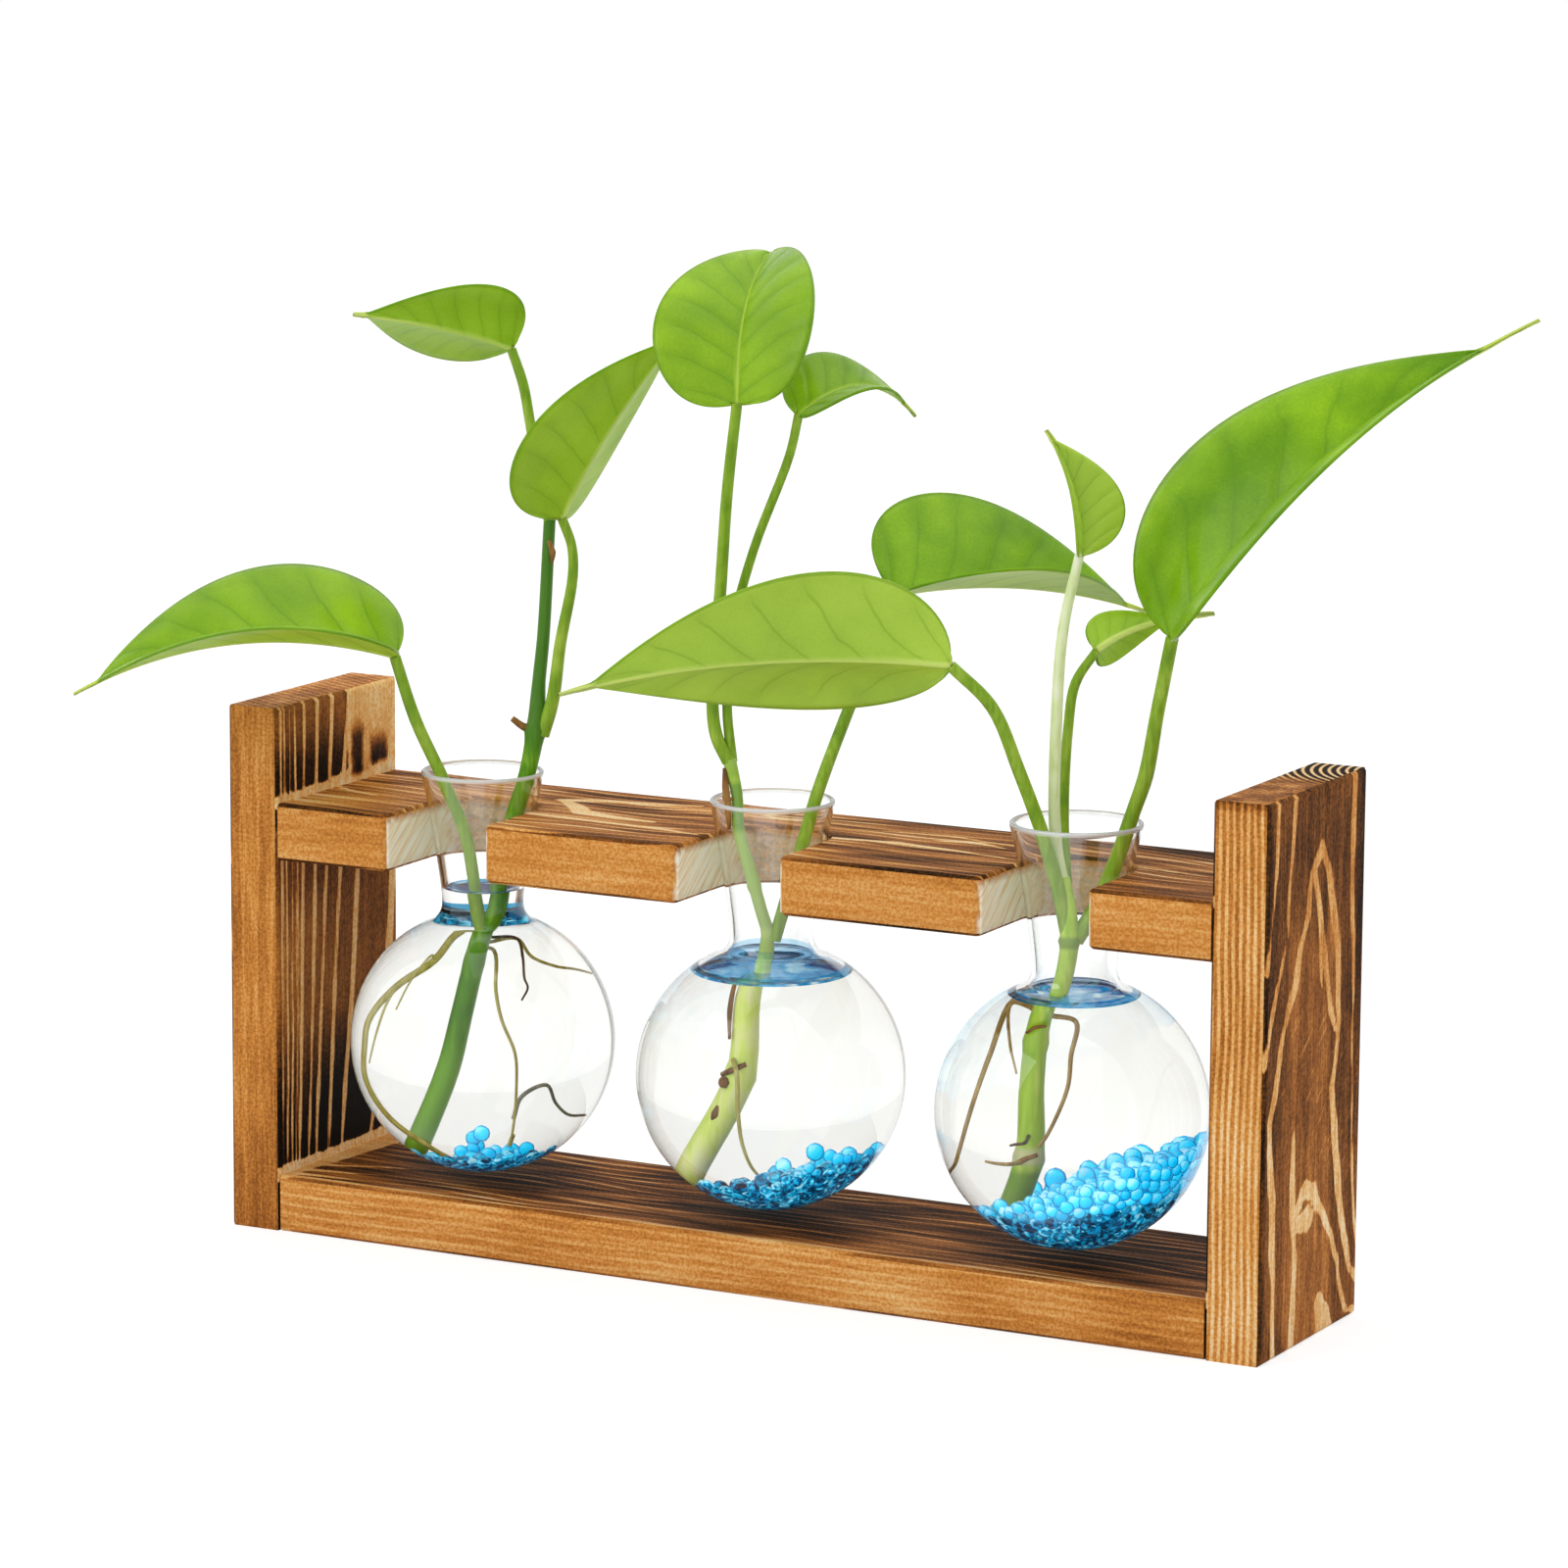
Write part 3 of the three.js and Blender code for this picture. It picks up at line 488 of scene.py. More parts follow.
def rail_figure(x, y, z, normal):
    slot = min((-1, 0, 1), key=lambda k: abs(x - k * PITCH))
    across = x - slot * PITCH
    in_slot = abs(across) < 15.2 and y < 9.4 and abs(normal.z) < 0.5 and (abs(normal.x) > 0.3 or y > -29)
    if in_slot:
        back = near(y, -4, 5)
        ring = (z + 0.3 * y) / 3.4
        band = min(9, 1.6 * (114.6 - z + 0.9 * drift(x, y * 4, z, 9)))
        raw_wood = (1 - 0.6 * back) * near(band, 0, 1.2)
        return {"rings": ring, "gap": 3.4, "lift": -0.1, "burn": 0.4, "band": 9, "sawn": raw_wood}
    if abs(normal.z) > 0.5:
        ring = (y - 4 * math.sin(x / 38 + 0.6) + 2.4 * drift(x, y, 0, 44, 12)) / 4.3
        ring += 0.9 * drift(x * 0.4, y, 0, 14, 5)
        burn = 0.52 + 0.36 * drift(x * 0.14, y, 0, 5, 13) + 0.12 * drift(x * 0.1, y, 0, 1.7, 3)
        burn += 0.16 * near(y, -28.2, -29.8 + 0.8 * drift(x, 0, 0, 4)) + 0.13 * near(x, 0, 30) - 0.03
        burn += 0.3 * math.exp(-(((x + 50) / 14) ** 2) - ((y - 7) / 6) ** 2) + 0.14 * near(y, 14, 26)
        lift = 0.26 + 0.4 * drift(x * 0.3, y, 0, 9, 2)
        band = min(to_line(x, y, line) for line in flame_lines)
        return {"rings": ring, "gap": 4.3, "lift": lift, "burn": burn, "band": band, "raw": 0.12, "fleck": 0.8}
    if abs(normal.y) > 0.5:
        ring = (z + 0.9 * drift(x, 0, z, 60, 3)) / 3.1
        burn = 0.335 + 0.3 * near(z, 115 + 1.1 * drift(x, 0, 0, 4), 116) + 0.08 * drift(x * 0.4, 0, z, 14, 2)
        return {"rings": ring, "gap": 3.1, "lift": 0.03, "burn": burn, "fleck": 0.45}
    return {"burn": 0.6}


wood_piece("vase_rail", "torched_vase_rail", rail_figure, (3, 0.9, 3), long_wood)

# ----------------------------------------
# Dowels: eight plain beech pegs glued blind into the four butt joints. They keep their CAD shape and
# only get the look of turned, unburnt wood.
peg_wood, tree, surface, _ = finish_named("dowel_wood")
fibres = patchy(drawn_out(on_piece(tree), (0.08, 1, 1)), 1400, 3)
feed(surface, {"Base Color": colours(fibres, (0.3, (196, 158, 112)), (0.7, (232, 202, 160))), "Roughness": 0.6})
for name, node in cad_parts.items():
    if name.startswith("dowel_"):
        node.data.materials.clear()
        node.data.materials.append(peg_wood)

# ----------------------------------------
# Glass vases: round-bottomed clear glass, blown thin, with a drawn neck that flares to a fire-polished rim.
# The flare hangs in the rail's slot.
SLOT_Y = -5.8
BULB_CENTRE, BULB_RADIUS = 52.9, 35.2
NECK_JOIN, NECK_FOOT = 12.6, 85
GLASS_WALL = 1.2
water_levels = {"left": 95.0, "middle": 81.0, "right": 83.5}
# Each vase's slot, the radius of its rim and how far the rim stands over the rail.
vases = {"left": (-1, 16.2, 9), "middle": (0, 16.2, 9), "right": (1, 17, 11)}


def between(p1, p2, a, b, t):
    """A point of the smooth curve that leaves p1 along a and reaches p2 along b."""
    return (2 * p1 - 2 * p2 + a + b) * t**3 + (3 * p2 - 3 * p1 - 2 * a - b) * t**2 + a * t + p1


def neck_curve(points, parts):
    """Points on the smooth curve through the neck's radii and heights."""
    curve = []
    for i in range(len(points) - 1):
        p0, p1, p2 = points[max(i - 1, 0)], points[i], points[i + 1]
        p3 = points[min(i + 2, len(points) - 1)]
        curve += [between(p1, p2, (p2 - p0) / 2, (p3 - p1) / 2, k / parts) for k in range(1, parts + 1)]
    return curve


def glass_outline(rim_radius, rim_rise):
    """The outer wall's radii and heights from the foot to the rim."""
    join = Vector((NECK_JOIN, BULB_CENTRE + math.sqrt(BULB_RADIUS**2 - NECK_JOIN**2)))
    sweep = math.pi - math.asin(NECK_JOIN / BULB_RADIUS)
    arc = [sweep * k / 40 for k in range(41)]
    bulb = [Vector((BULB_RADIUS * math.sin(a), BULB_CENTRE - BULB_RADIUS * math.cos(a))) for a in arc]
    knots = [join, (10.8, 90.17), (12.3, 102.8), (14.45, RAIL_TOP), (rim_radius, RAIL_TOP + rim_rise)]
    return bulb + neck_curve([Vector(k) for k in knots], 8)


def inner_wall(outline, depth):
    """The outline set in by depth along its own normal."""
    inner = []
    for i, point in enumerate(outline):
        run = outline[min(i + 1, len(outline) - 1)] - outline[max(i - 1, 0)]
        run = Vector((1, 0)) if i == 0 else run.normalized()
        inner.append(Vector((0 if i == 0 else point.x - run.y * depth, point.y + run.x * depth)))
    return inner


def sewn(piece, smooth):
    """Merges a piece's doubles, turns its faces outward and shades it smooth up to an angle."""
    bpy.ops.object.mode_set(mode="EDIT")
    bpy.ops.mesh.select_all(action="SELECT")
    bpy.ops.mesh.remove_doubles(threshold=1e-6)
    bpy.ops.mesh.normals_make_consistent(inside=False)
    bpy.ops.object.mode_set(mode="OBJECT")
    bpy.ops.object.shade_smooth_by_angle(angle=math.radians(smooth))
    return piece


def turned(name, profile, centre_x):
    """A closed piece spun from its profile of radii and heights about an upright axis at the slot's centre."""
    mesh = bpy.data.meshes.new(name)
    points = [((centre_x + r) * MM, SLOT_Y * MM, z * MM) for r, z in profile]
    mesh.from_pydata(points, [(i, i + 1) for i in range(len(points) - 1)], [])
    piece = placed(name, mesh)
    only(piece)
    bpy.ops.object.mode_set(mode="EDIT")
    bpy.ops.mesh.select_all(action="SELECT")
    bpy.ops.mesh.spin(steps=96, angle=math.tau, center=(centre_x * MM, SLOT_Y * MM, 0), axis=(0, 0, 1))
    bpy.ops.object.mode_set(mode="OBJECT")
    return sewn(piece, 50)


def edge_on(tree):
    """0 where a surface faces the eye, 1 where it is seen edge-on."""
    return shade(tree, "LayerWeight", {"Blend": 0.5})["Facing"]


def lets_light_by(tree, surface, output, colour):
    """Lets shadow and diffuse rays pass a clear piece in this colour, so that what stands in it is lit."""
    rays = shade(tree, "LightPath")
    passing = calc("MAXIMUM", rays["Is Shadow Ray"], rays["Is Diffuse Ray"])
    clear = shade(tree, "BsdfTransparent", {"Color": colour})
    feed(output, {"Surface": shade(tree, "MixShader", {0: passing, 1: Output(surface), 2: clear})})


def see_through(name, ior, colour, rim_colour, body=1.0):
    """Clear glass or water, darker where seen edge-on."""
    material, tree, surface, output = finish_named(name)
    clear = {
        "Base Color": colours(edge_on(tree), (0.66, colour), (0.9, rim_colour)),
        "Transmission Weight": body,
        "Roughness": 0,
        "IOR": ior,
        "Normal": relief(patchy(on_piece(tree), 45, 1), 0.12),
    }
    feed(surface, clear)
    lets_light_by(tree, surface, output, (0.97, 0.98, 0.98, 1))
    return material


# The glass's finishes: dry; against water, where light passes from glass to water and is bent less; the
# fire-polished lip, made part white so that it shows as a white ring, a painted highlight; and the two places
# over a full bulb's water painted with the beads' blue as a painted reflection: a band at the foot of the
# left neck, on its far side, and all round inside the middle vase's shoulder.
DRY, WET, LIP, NECK, SHOULDER = range(5)
glass_finishes = (
    see_through("clear_glass", 1.5, (254, 255, 254), (206, 210, 210)),
    see_through("wet_glass", 1.125, (247, 247, 244), (214, 218, 218)),
    see_through("lip_glass_painted_highlight", 1.45, (250, 251, 252), (222, 226, 228), 0.6),
    see_through("neck_glass_painted_reflection", 1.2, (24, 150, 222), (10, 104, 186), 0.45),
    see_through("shoulder_glass_painted_reflection", 1.5, (150, 210, 246), (60, 150, 216), 0.95),
)
for side, (slot, rim_radius, rim_rise) in vases.items():
    outer = glass_outline(rim_radius, rim_rise)
    inner = inner_wall(outer, GLASS_WALL)
    middle, across = (outer[-1] + inner[-1]) / 2, (outer[-1] - inner[-1]) / 2
    rise = Vector((-across.y, across.x)) if across.x > 0 else Vector((across.y, -across.x))
    round_lip = [math.pi * k / 8 for k in range(1, 8)]
    lip = [middle + across * math.cos(a) + rise * math.sin(a) for a in round_lip]
    vase = turned(f"glass_vase_{side}", outer + lip + inner[::-1], slot * PITCH)
    for finish in glass_finishes:
        vase.data.materials.append(finish)
    centre = Vector((slot * PITCH, SLOT_Y, BULB_CENTRE)) * MM
    for face in vase.data.polygons:
        height, away = face.center.z / MM, face.center - centre
        if height > NECK_FOOT:
            away.z = 0
        inside = face.normal.dot(away) < 0
        if inside and height < water_levels[side]:
            # Painted reflection of the beads' blue on the left neck's far side.
            far_neck = side == "left" and 86.4 < height < 88.8 and face.center.y > (SLOT_Y - 3) * MM
            face.material_index = NECK if far_neck else WET
        # Painted reflection of the beads' blue inside the middle vase's shoulder.
        if inside and side == "middle" and water_levels[side] < height < 87:
            face.material_index = SHOULDER
        # Painted highlight: the lip takes the part white finish that shows as a white ring.
        if height > RAIL_TOP + rim_rise - 0.3:
            face.material_index = LIP
    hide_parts(f"vase_{side}")
    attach(vase, f"{side}_vase")

# ----------------------------------------
# Water: fills each bulb and stands in the neck, with the thin upturned edge that water has against glass.
# The level surface has the beads' blue painted on in patches, a painted reflection such as water seen through a
# bulb shows.
clear_water = see_through("clear_water", 1.333, (255, 255, 255), (255, 255, 255), 0.62)
tree = clear_water.node_tree
# Painted reflection: patches of the beads' blue on the level surface.
patches = patchy(on_piece(tree), 110, 1, 1)
painted_bead_blue = colours(patches, (0.42, (0, 88, 170)), (0.58, (30, 150, 220)), (0.68, (200, 236, 250)))
feed(tree.nodes["Principled BSDF"], {"Base Color": painted_bead_blue})
against_glass, tree, surface, _ = finish_named("water_against_glass")
feed(surface, {"Alpha": 0})
for side, level in water_levels.items():
    slot, rim_radius, rim_rise = vases[side]
    wet = inner_wall(glass_outline(rim_radius, rim_rise), GLASS_WALL + 0.02)
    body = [point for point in wet if point.y < level]
    edge = body[-1].x
    profile = body + [Vector((edge - 0.4, level - 0.35)), Vector((edge - 1.4, level - 0.8))]
    profile += [Vector((edge * k / 6, level - 0.9)) for k in range(5, -1, -1)]
    water = turned(f"water_{side}", profile, slot * PITCH)
    water.data.materials.append(clear_water)
    water.data.materials.append(against_glass)
    for face in water.data.polygons:
        reach = math.hypot(face.center.x / MM - slot * PITCH, face.center.y / MM - SLOT_Y)
        face.material_index = 0 if reach < edge - 0.15 and face.center.z > (level - 1.05) * MM else 1
    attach(water, f"{side}_vase")

# ----------------------------------------
# Gel beads: swollen water beads of 3 to 4 mm, clear blue-green, poured loose into the foot of each bulb.
# Of each bed: depth, slope in degrees, the height below which beads lie tight and take painted shade, and its
# loose heaps of (count, reach, offset to the right); heights are from the bulb's centre.
bead_beds = {
    "left": (8, 3, -25, ((10, 8.5, 1), (2, 3, -3))),
    "middle": (12.4, 12, -19.6, ((4, 8, 5),)),
    "right": (18.9, 19, -19.8, ()),
}
# The bulb's inner radius, the radius that the beads keep within, and the bearing that the slopes are seen from.
BULB_INSIDE, BULB_ROOM, BEAD_BEARING = 34, 33.7, math.radians(27)


def settled_beads(depth, slope, packed, heaps, seed):
    """Centres, radii and tightness of beads that lie in the bulb's foot under a sloping top."""
    dice = np.random.default_rng(seed)
    slope, east, north = math.radians(slope), math.cos(BEAD_BEARING), math.sin(BEAD_BEARING)
    top = np.array((-math.sin(slope) * east, -math.sin(slope) * north, math.cos(slope)))
    level = (depth - BULB_INSIDE) * math.cos(slope)
    fill = depth if slope < 0.2 else BULB_INSIDE + level
    bed, mean_bead = 0.63 * math.pi * fill**2 * (3 * BULB_ROOM - fill) / 3, 4.19 * 1.67**3
    wanted = int(bed / mean_bead)
    places = []
    while len(places) < wanted:
        spot = dice.uniform(-BULB_ROOM, BULB_ROOM, 3)
        if np.linalg.norm(spot) < BULB_ROOM - 2 and spot @ top < level:
            places.append(spot)
    places = np.array(places)
    sizes = dice.uniform(1.35, 1.95, wanted)
    # The beads push one another apart and sink, and at the end only push, within the glass.
    for turn in range(160):
        apart = places[:, None] - places[None]
        gaps = np.linalg.norm(apart, axis=2) + np.eye(wanted) * 99
        overlap = np.maximum(sizes[:, None] + sizes[None] - gaps, 0)
        places += (apart / gaps[..., None] * overlap[..., None]).sum(1) * 0.34
        if turn < 110:
            places -= top * 0.05
        far = np.linalg.norm(places, axis=1)
        places *= np.minimum(1, (BULB_ROOM - sizes) / far)[:, None]
    rise = 0.12 * (places[:, 0] * east + places[:, 1] * north)
    # How tight each bead lies: its share of the tight beads' painted shade.
    tightness = [near(step, -1, 1.8) for step in packed + rise - places[:, 2]]
    away = np.array((-north, east, 0))
    aside = np.cross(away, top)
    for k, count, reach, offset in [(k, *heap) for heap in heaps for k in range(heap[0])]:
        size, swing, far = dice.uniform(1.4, 1.9), k * 2.4, reach * math.sqrt((k + 0.5) / count)
        spot = far * 0.7 * math.cos(swing) * away + (offset + far * math.sin(swing)) * aside
        flat = places - np.outer(places @ top, top)
        wide = np.linalg.norm(flat - spot, axis=1)
        meets = wide < sizes + size
        if not meets.any():
            continue
        height = (places[meets] @ top + np.sqrt((sizes[meets] + size) ** 2 - wide[meets] ** 2)).max() - 0.6
        spot = spot + top * height
        if np.linalg.norm(spot) < BULB_ROOM - size:
            places, sizes = np.vstack((places, spot)), np.append(sizes, size)
    return places, sizes, tightness + [0.0] * (len(places) - wanted)


# Painted light: loose beads are lighter toward the lamps, with painted dark outlines and glints; tight ones
# are painted darker as in shade, with painted sparkle; all glow a little by emission.
gel, tree, surface, output = finish_named("gel_bead")
tight_mark, each_mark = carried(tree, "deep"), carried(tree, "each")
# Painted shading: a bead is lighter on the side that faces this fixed direction, up toward the window lamp.
toward_light = {0: shade(tree, "NewGeometry")["Normal"], 1: (-0.4, -0.45, 0.8)}
lit_side = shade(tree, "VectorMath", toward_light, operation="DOT_PRODUCT")["Value"]
# Painted shade in a dark outline where a bead is seen edge-on, and a painted glint where it faces the lamp.
outline = eased(edge_on(tree), 0.3, 0.7, 0.0, 0.6)
glint = eased(lit_side, 0.9, 0.98, 0.0, 0.4)
loose = colours(
    lit_side * 0.36 + each_mark * 0.3 + 0.43 + glint - outline,
    (0.04, (0, 88, 142)), (0.26, (0, 156, 210)), (0.48, (4, 190, 234)), (0.7, (64, 216, 248)),
    (0.92, (210, 248, 255)),
)
# Painted sparkle: random glints over the tight beads.
painted_sparkle = eased(patchy(on_piece(tree), 640, 1), 0.34, 0.66, -0.26, 0.26)
tight = colours(
    lit_side * 0.14 + each_mark * 0.34 + painted_sparkle + 0.27,
    (0.18, (0, 50, 76)), (0.4, (0, 104, 146)), (0.58, (4, 160, 206)), (0.72, (70, 212, 242)),
    (0.84, (190, 244, 254)),
)
# Tight beads take the darker ramp, painted shade of the packed bed.
gel_colour = blended(tight_mark, loose, tight)
jelly = {"Base Color": gel_colour, "Roughness": 0.05, "IOR": 1.15, "Transmission Weight": 0.6}
# Emission makes the beads glow a little: painted light, as they are no lamp.
jelly |= {"Specular IOR Level": 0.3, "Emission Color": gel_colour, "Emission Strength": 0.42}
feed(surface, jelly)
lets_light_by(tree, surface, output, blended(tight_mark, (0.95, 0.99, 1, 1), (0.72, 0.86, 0.92, 1)))

deselect()
bpy.ops.mesh.primitive_ico_sphere_add(subdivisions=2, radius=1, location=(0, 0, 0))
pattern_bead = bpy.context.object
bead_points = np.array([v.co[:] for v in pattern_bead.data.vertices])
bead_faces = [tuple(f.vertices) for f in pattern_bead.data.polygons]
bpy.data.objects.remove(pattern_bead)
for seed, (side, bed) in enumerate(bead_beds.items()):
    places, sizes, tightness = settled_beads(*bed, 11 + seed)
    middle = np.array((vases[side][0] * PITCH, SLOT_Y, BULB_CENTRE))
    points, faces, deep, each = [], [], [], []
    dice = random.Random(5 + seed)
    for place, size, depth_mark in zip(places, sizes, tightness):
        faces += [tuple(i + len(points) for i in face) for face in bead_faces]
        points += [tuple(p) for p in (bead_points * size + place + middle) * MM]
        deep += [depth_mark] * len(bead_points)
        each += [dice.random()] * len(bead_points)
    mesh = bpy.data.meshes.new(f"gel_beads_{side}")
    mesh.from_pydata(points, [], faces)
    mark(mesh, "deep", deep)
    mark(mesh, "each", each)
    mesh.shade_smooth()
    mesh.materials.append(gel)
    beads = placed(f"gel_beads_{side}", mesh)
    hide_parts(f"beads_{side}")
    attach(beads, f"{side}_vase")

# ----------------------------------------
# Main stems: the cuttings' stems, rooted in water, with node rings and the scars and stubs of old leaves.
# Routes run from a vase's axis in (x, y, z, radius) points.


def flowing(points, parts=6):
    """Points of the smooth curve through a route of (x, y, z, radius) points."""
    points = [Vector(p) for p in points]
    ends = [2 * points[0] - points[1]] + points + [2 * points[-1] - points[-2]]
    curve = []
    for i in range(1, len(ends) - 2):
        p0, p1, p2, p3 = ends[i - 1 : i + 3]
        d0, d1, d2 = (max((b - a).to_3d().length, 1e-6) ** 0.5 for a, b in ((p0, p1), (p1, p2), (p2, p3)))
        a = ((p1 - p0) / d0 - (p2 - p0) / (d0 + d1) + (p2 - p1) / d1) * d1
        b = ((p2 - p1) / d1 - (p3 - p1) / (d1 + d2) + (p3 - p2) / d2) * d1
        for k in range(parts + (i == len(ends) - 3)):
            point = between(p1, p2, a, b, k / parts)
            point.w = p1.w + (p2.w - p1.w) * (k / parts)
            curve.append(point)
    return curve


def strands(name, side, routes, finish, height=0.0, sides=8, knobs=()):
    """Round rods along routes in a vase, swollen by knobs of (height, share, width)."""
    line = bpy.data.curves.new(name, "CURVE")
    line.dimensions, line.bevel_depth, line.bevel_resolution = "3D", MM, sides // 2 - 1
    line.use_fill_caps, line.twist_mode = True, "MINIMUM"
    for route in routes:
        path = flowing(route)
        spline = line.splines.new("POLY")
        spline.points.add(len(path) - 1)
        for target, (x, y, z, radius) in zip(spline.points, path):
            for where, share, width in knobs:
                radius *= 1 + share * math.exp(-(((z + height - where) / width) ** 2))
            target.co = ((x + vases[side][0] * PITCH) * MM, (y + SLOT_Y) * MM, (z + height) * MM, 1)
            target.radius = radius
    only(placed(name, line))
    bpy.ops.object.convert(target="MESH")
    piece = sewn(bpy.context.object, 60)
    piece.data.materials.clear()
    piece.data.materials.append(finish)
    return piece


def green_stem(name, dark, middle, light, middle_at=0.5, light_at=0.7, zones=()):
    """Skin of a stem or stalk: fine lengthwise streaks and blotches; zones are (low, high, soft, colour)."""
    material, tree, surface, _ = finish_named(name)
    place = on_piece(tree)
    streaks = patchy(drawn_out(place, (1, 1, 0.12)), 900)
    mixed = streaks * 0.45 + patchy(place, 110) * 0.55
    colour = colours(mixed, (0.3, dark), (middle_at, middle), (light_at, light))
    height = shade(tree, "SeparateXYZ", {0: place})["Z"]
    for low, high, soft, zone in zones:
        up, down = (eased(height, (at - soft) * MM, (at + soft) * MM) for at in (low, high))
        colour = blended((up - down) * 0.85, colour, tint(*zone))
    skin = {"Base Color": colour, "Roughness": 0.36, "Specular IOR Level": 0.22, "Subsurface Weight": 0.12}
    feed(surface, skin | {"Subsurface Scale": 0.002, "Normal": relief(streaks, 0.25, 0.0003)})
    return material


stem_skins = {
    "left": green_stem(
        "left_stem_skin", (66, 124, 8), (88, 148, 8), (142, 188, 50), 0.52, 0.72,
        zones=((134, 200, 6, (72, 122, 36)), (99, 102, 0.8, (176, 206, 120)), (20, 50, 8, (126, 184, 38))),
    ),
    "middle": green_stem(
        "middle_stem_skin", (204, 242, 84), (238, 255, 138), (254, 255, 204),
        zones=(
            (84, 91, 2, (150, 186, 70)), (91, 119, 3, (156, 190, 102)),
            (118, 131, 1.5, (88, 148, 26)), (131, 140, 2, (140, 180, 66)),
        ),
    ),
    "right": green_stem(
        "right_stem_skin", (142, 190, 32), (176, 216, 60), (212, 236, 108), 0.52, 0.72,
        zones=((20, 41, 1, (112, 158, 42)), (42.4, 45.4, 0.8, (222, 222, 176)), (96, 99, 0.8, (120, 158, 54))),
    ),
}
stem_routes = {
    "left": [
        (-15.6, -0.7, 27.1, 2.3), (-7.5, -0.7, 46.1, 2.3), (-4.4, -0.7, 58, 2.2), (-0.3, -0.7, 75, 2.2),
        (4.3, -1.1, 89.5, 2.2), (6.4, -1.1, 101.6, 2.2), (10, 0.8, 117.2, 2.2), (11.8, 3, 125.2, 2.2),
        (12.6, 6, 136.2, 2.5), (12.2, 8.6, 149, 1.8), (12.7, 10.1, 161, 1.7), (13.7, 11.7, 192, 1.6),
    ],
    "middle": [
        (-17, -1, 29.1, 2.7), (-15.6, -1, 33.5, 2.8), (-6.1, -1, 52.2, 2.9), (-4.8, -1, 68.2, 2.6),
        (0.4, -3, 90.2, 1.7), (-0.6, -4.7, 97.2, 1.6), (-3, -6.1, 107.2, 1.6), (-5.8, -7.4, 118.7, 1.5),
        (-6.8, -6.8, 127.2, 1.5), (-9, -6.9, 136.2, 1.8),
    ],
    "right": [
        (-12.6, -1, 30.5, 2.4), (-8.2, -1, 43.4, 2.7), (-8.2, -0.7, 57, 2.4), (-7.1, -0.7, 70.6, 2.3),
        (-1.2, -2.8, 89.9, 2.3), (0, -3.3, 97.6, 2.4), (-0.6, -3.4, 106.2, 2.2), (-2.4, -2.9, 113.7, 1.9),
    ],
}
stem_knobs = {
    "left": [(136, 0.22, 1.6), (101, 0.14, 0.9), (70, 0.12, 0.8)],
    "middle": [(52, 0.12, 1), (70, 0.15, 1), (88, 0.14, 0.9), (104, 0.2, 0.9)],
    "right": [(43, 0.16, 1.2), (66, 0.14, 0.8), (97.6, 0.2, 1)],
}
for side, route in stem_routes.items():
    stem = strands(f"main_stem_{side}", side, [route], stem_skins[side], sides=14, knobs=stem_knobs[side])
    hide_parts(f"stem_{side}")
    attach(stem, f"{side}_vase")

# Old leaf scars, dry bud scales and the stub of a cut stalk: short woody bits that sit on the stems' nodes.
bark = green_stem("dry_scale", (70, 44, 20), (134, 92, 40), (182, 140, 72))
scars = {
    "left": [
        [(12, 5.6, 136.4, 1.3), (9.6, 4.2, 137.6, 1), (7.4, 2.8, 139.6, 0.8)],
        [(14.2, 8.6, 138.4, 1.5), (15.3, 8.2, 141.8, 0.9), (15.8, 8.6, 144.6, 0.4)],
        [(14.6, 9.6, 186.5, 0.5), (15.9, 9.4, 183.5, 0.9), (15.6, 9.6, 180.5, 0.3)],
    ],
    "middle": [
        [(-9.6, -8.4, 134.2, 0.5), (-8.9, -9, 129, 1), (-8, -9.2, 124, 0.9), (-7.6, -8.9, 118.6, 0.4)],
        [(-10.4, -8, 126.5, 0.3), (-8.8, -8.4, 126, 0.9), (-6.8, -8.3, 126.4, 0.3)],
        [(-9.2, -2.4, 52.4, 0.5), (-6.6, -4.4, 53.8, 0.6), (-3.8, -3.4, 55.2, 0.5)],
        [(-9, -3, 50.6, 0.8), (-8.2, -3.7, 51.2, 1.3), (-7.2, -3.7, 51.6, 0.6)],
        [(-9.4, -3.3, 46.4, 0.5), (-10, -3.4, 44.8, 0.9), (-10.8, -3.2, 43.2, 0.4)],
        [(-7.4, -3.7, 60, 0.3), (-7.7, -3.2, 66, 0.6), (-7, -3, 72, 0.5), (-5.4, -3.2, 77, 0.3)],
    ],
    "right": [
        [(-10.6, -2.6, 42.2, 0.4), (-8.2, -4, 43.4, 0.5), (-5.8, -2.8, 44.4, 0.4)],
        [(-9, -2.8, 68.4, 0.3), (-7, -3.6, 70.2, 0.4), (-4.6, -3.2, 70.8, 0.3)],
    ],
}
for side, routes in scars.items():
    scales = strands(f"dry_scales_{side}", side, routes, bark)
    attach(scales, f"{side}_vase")

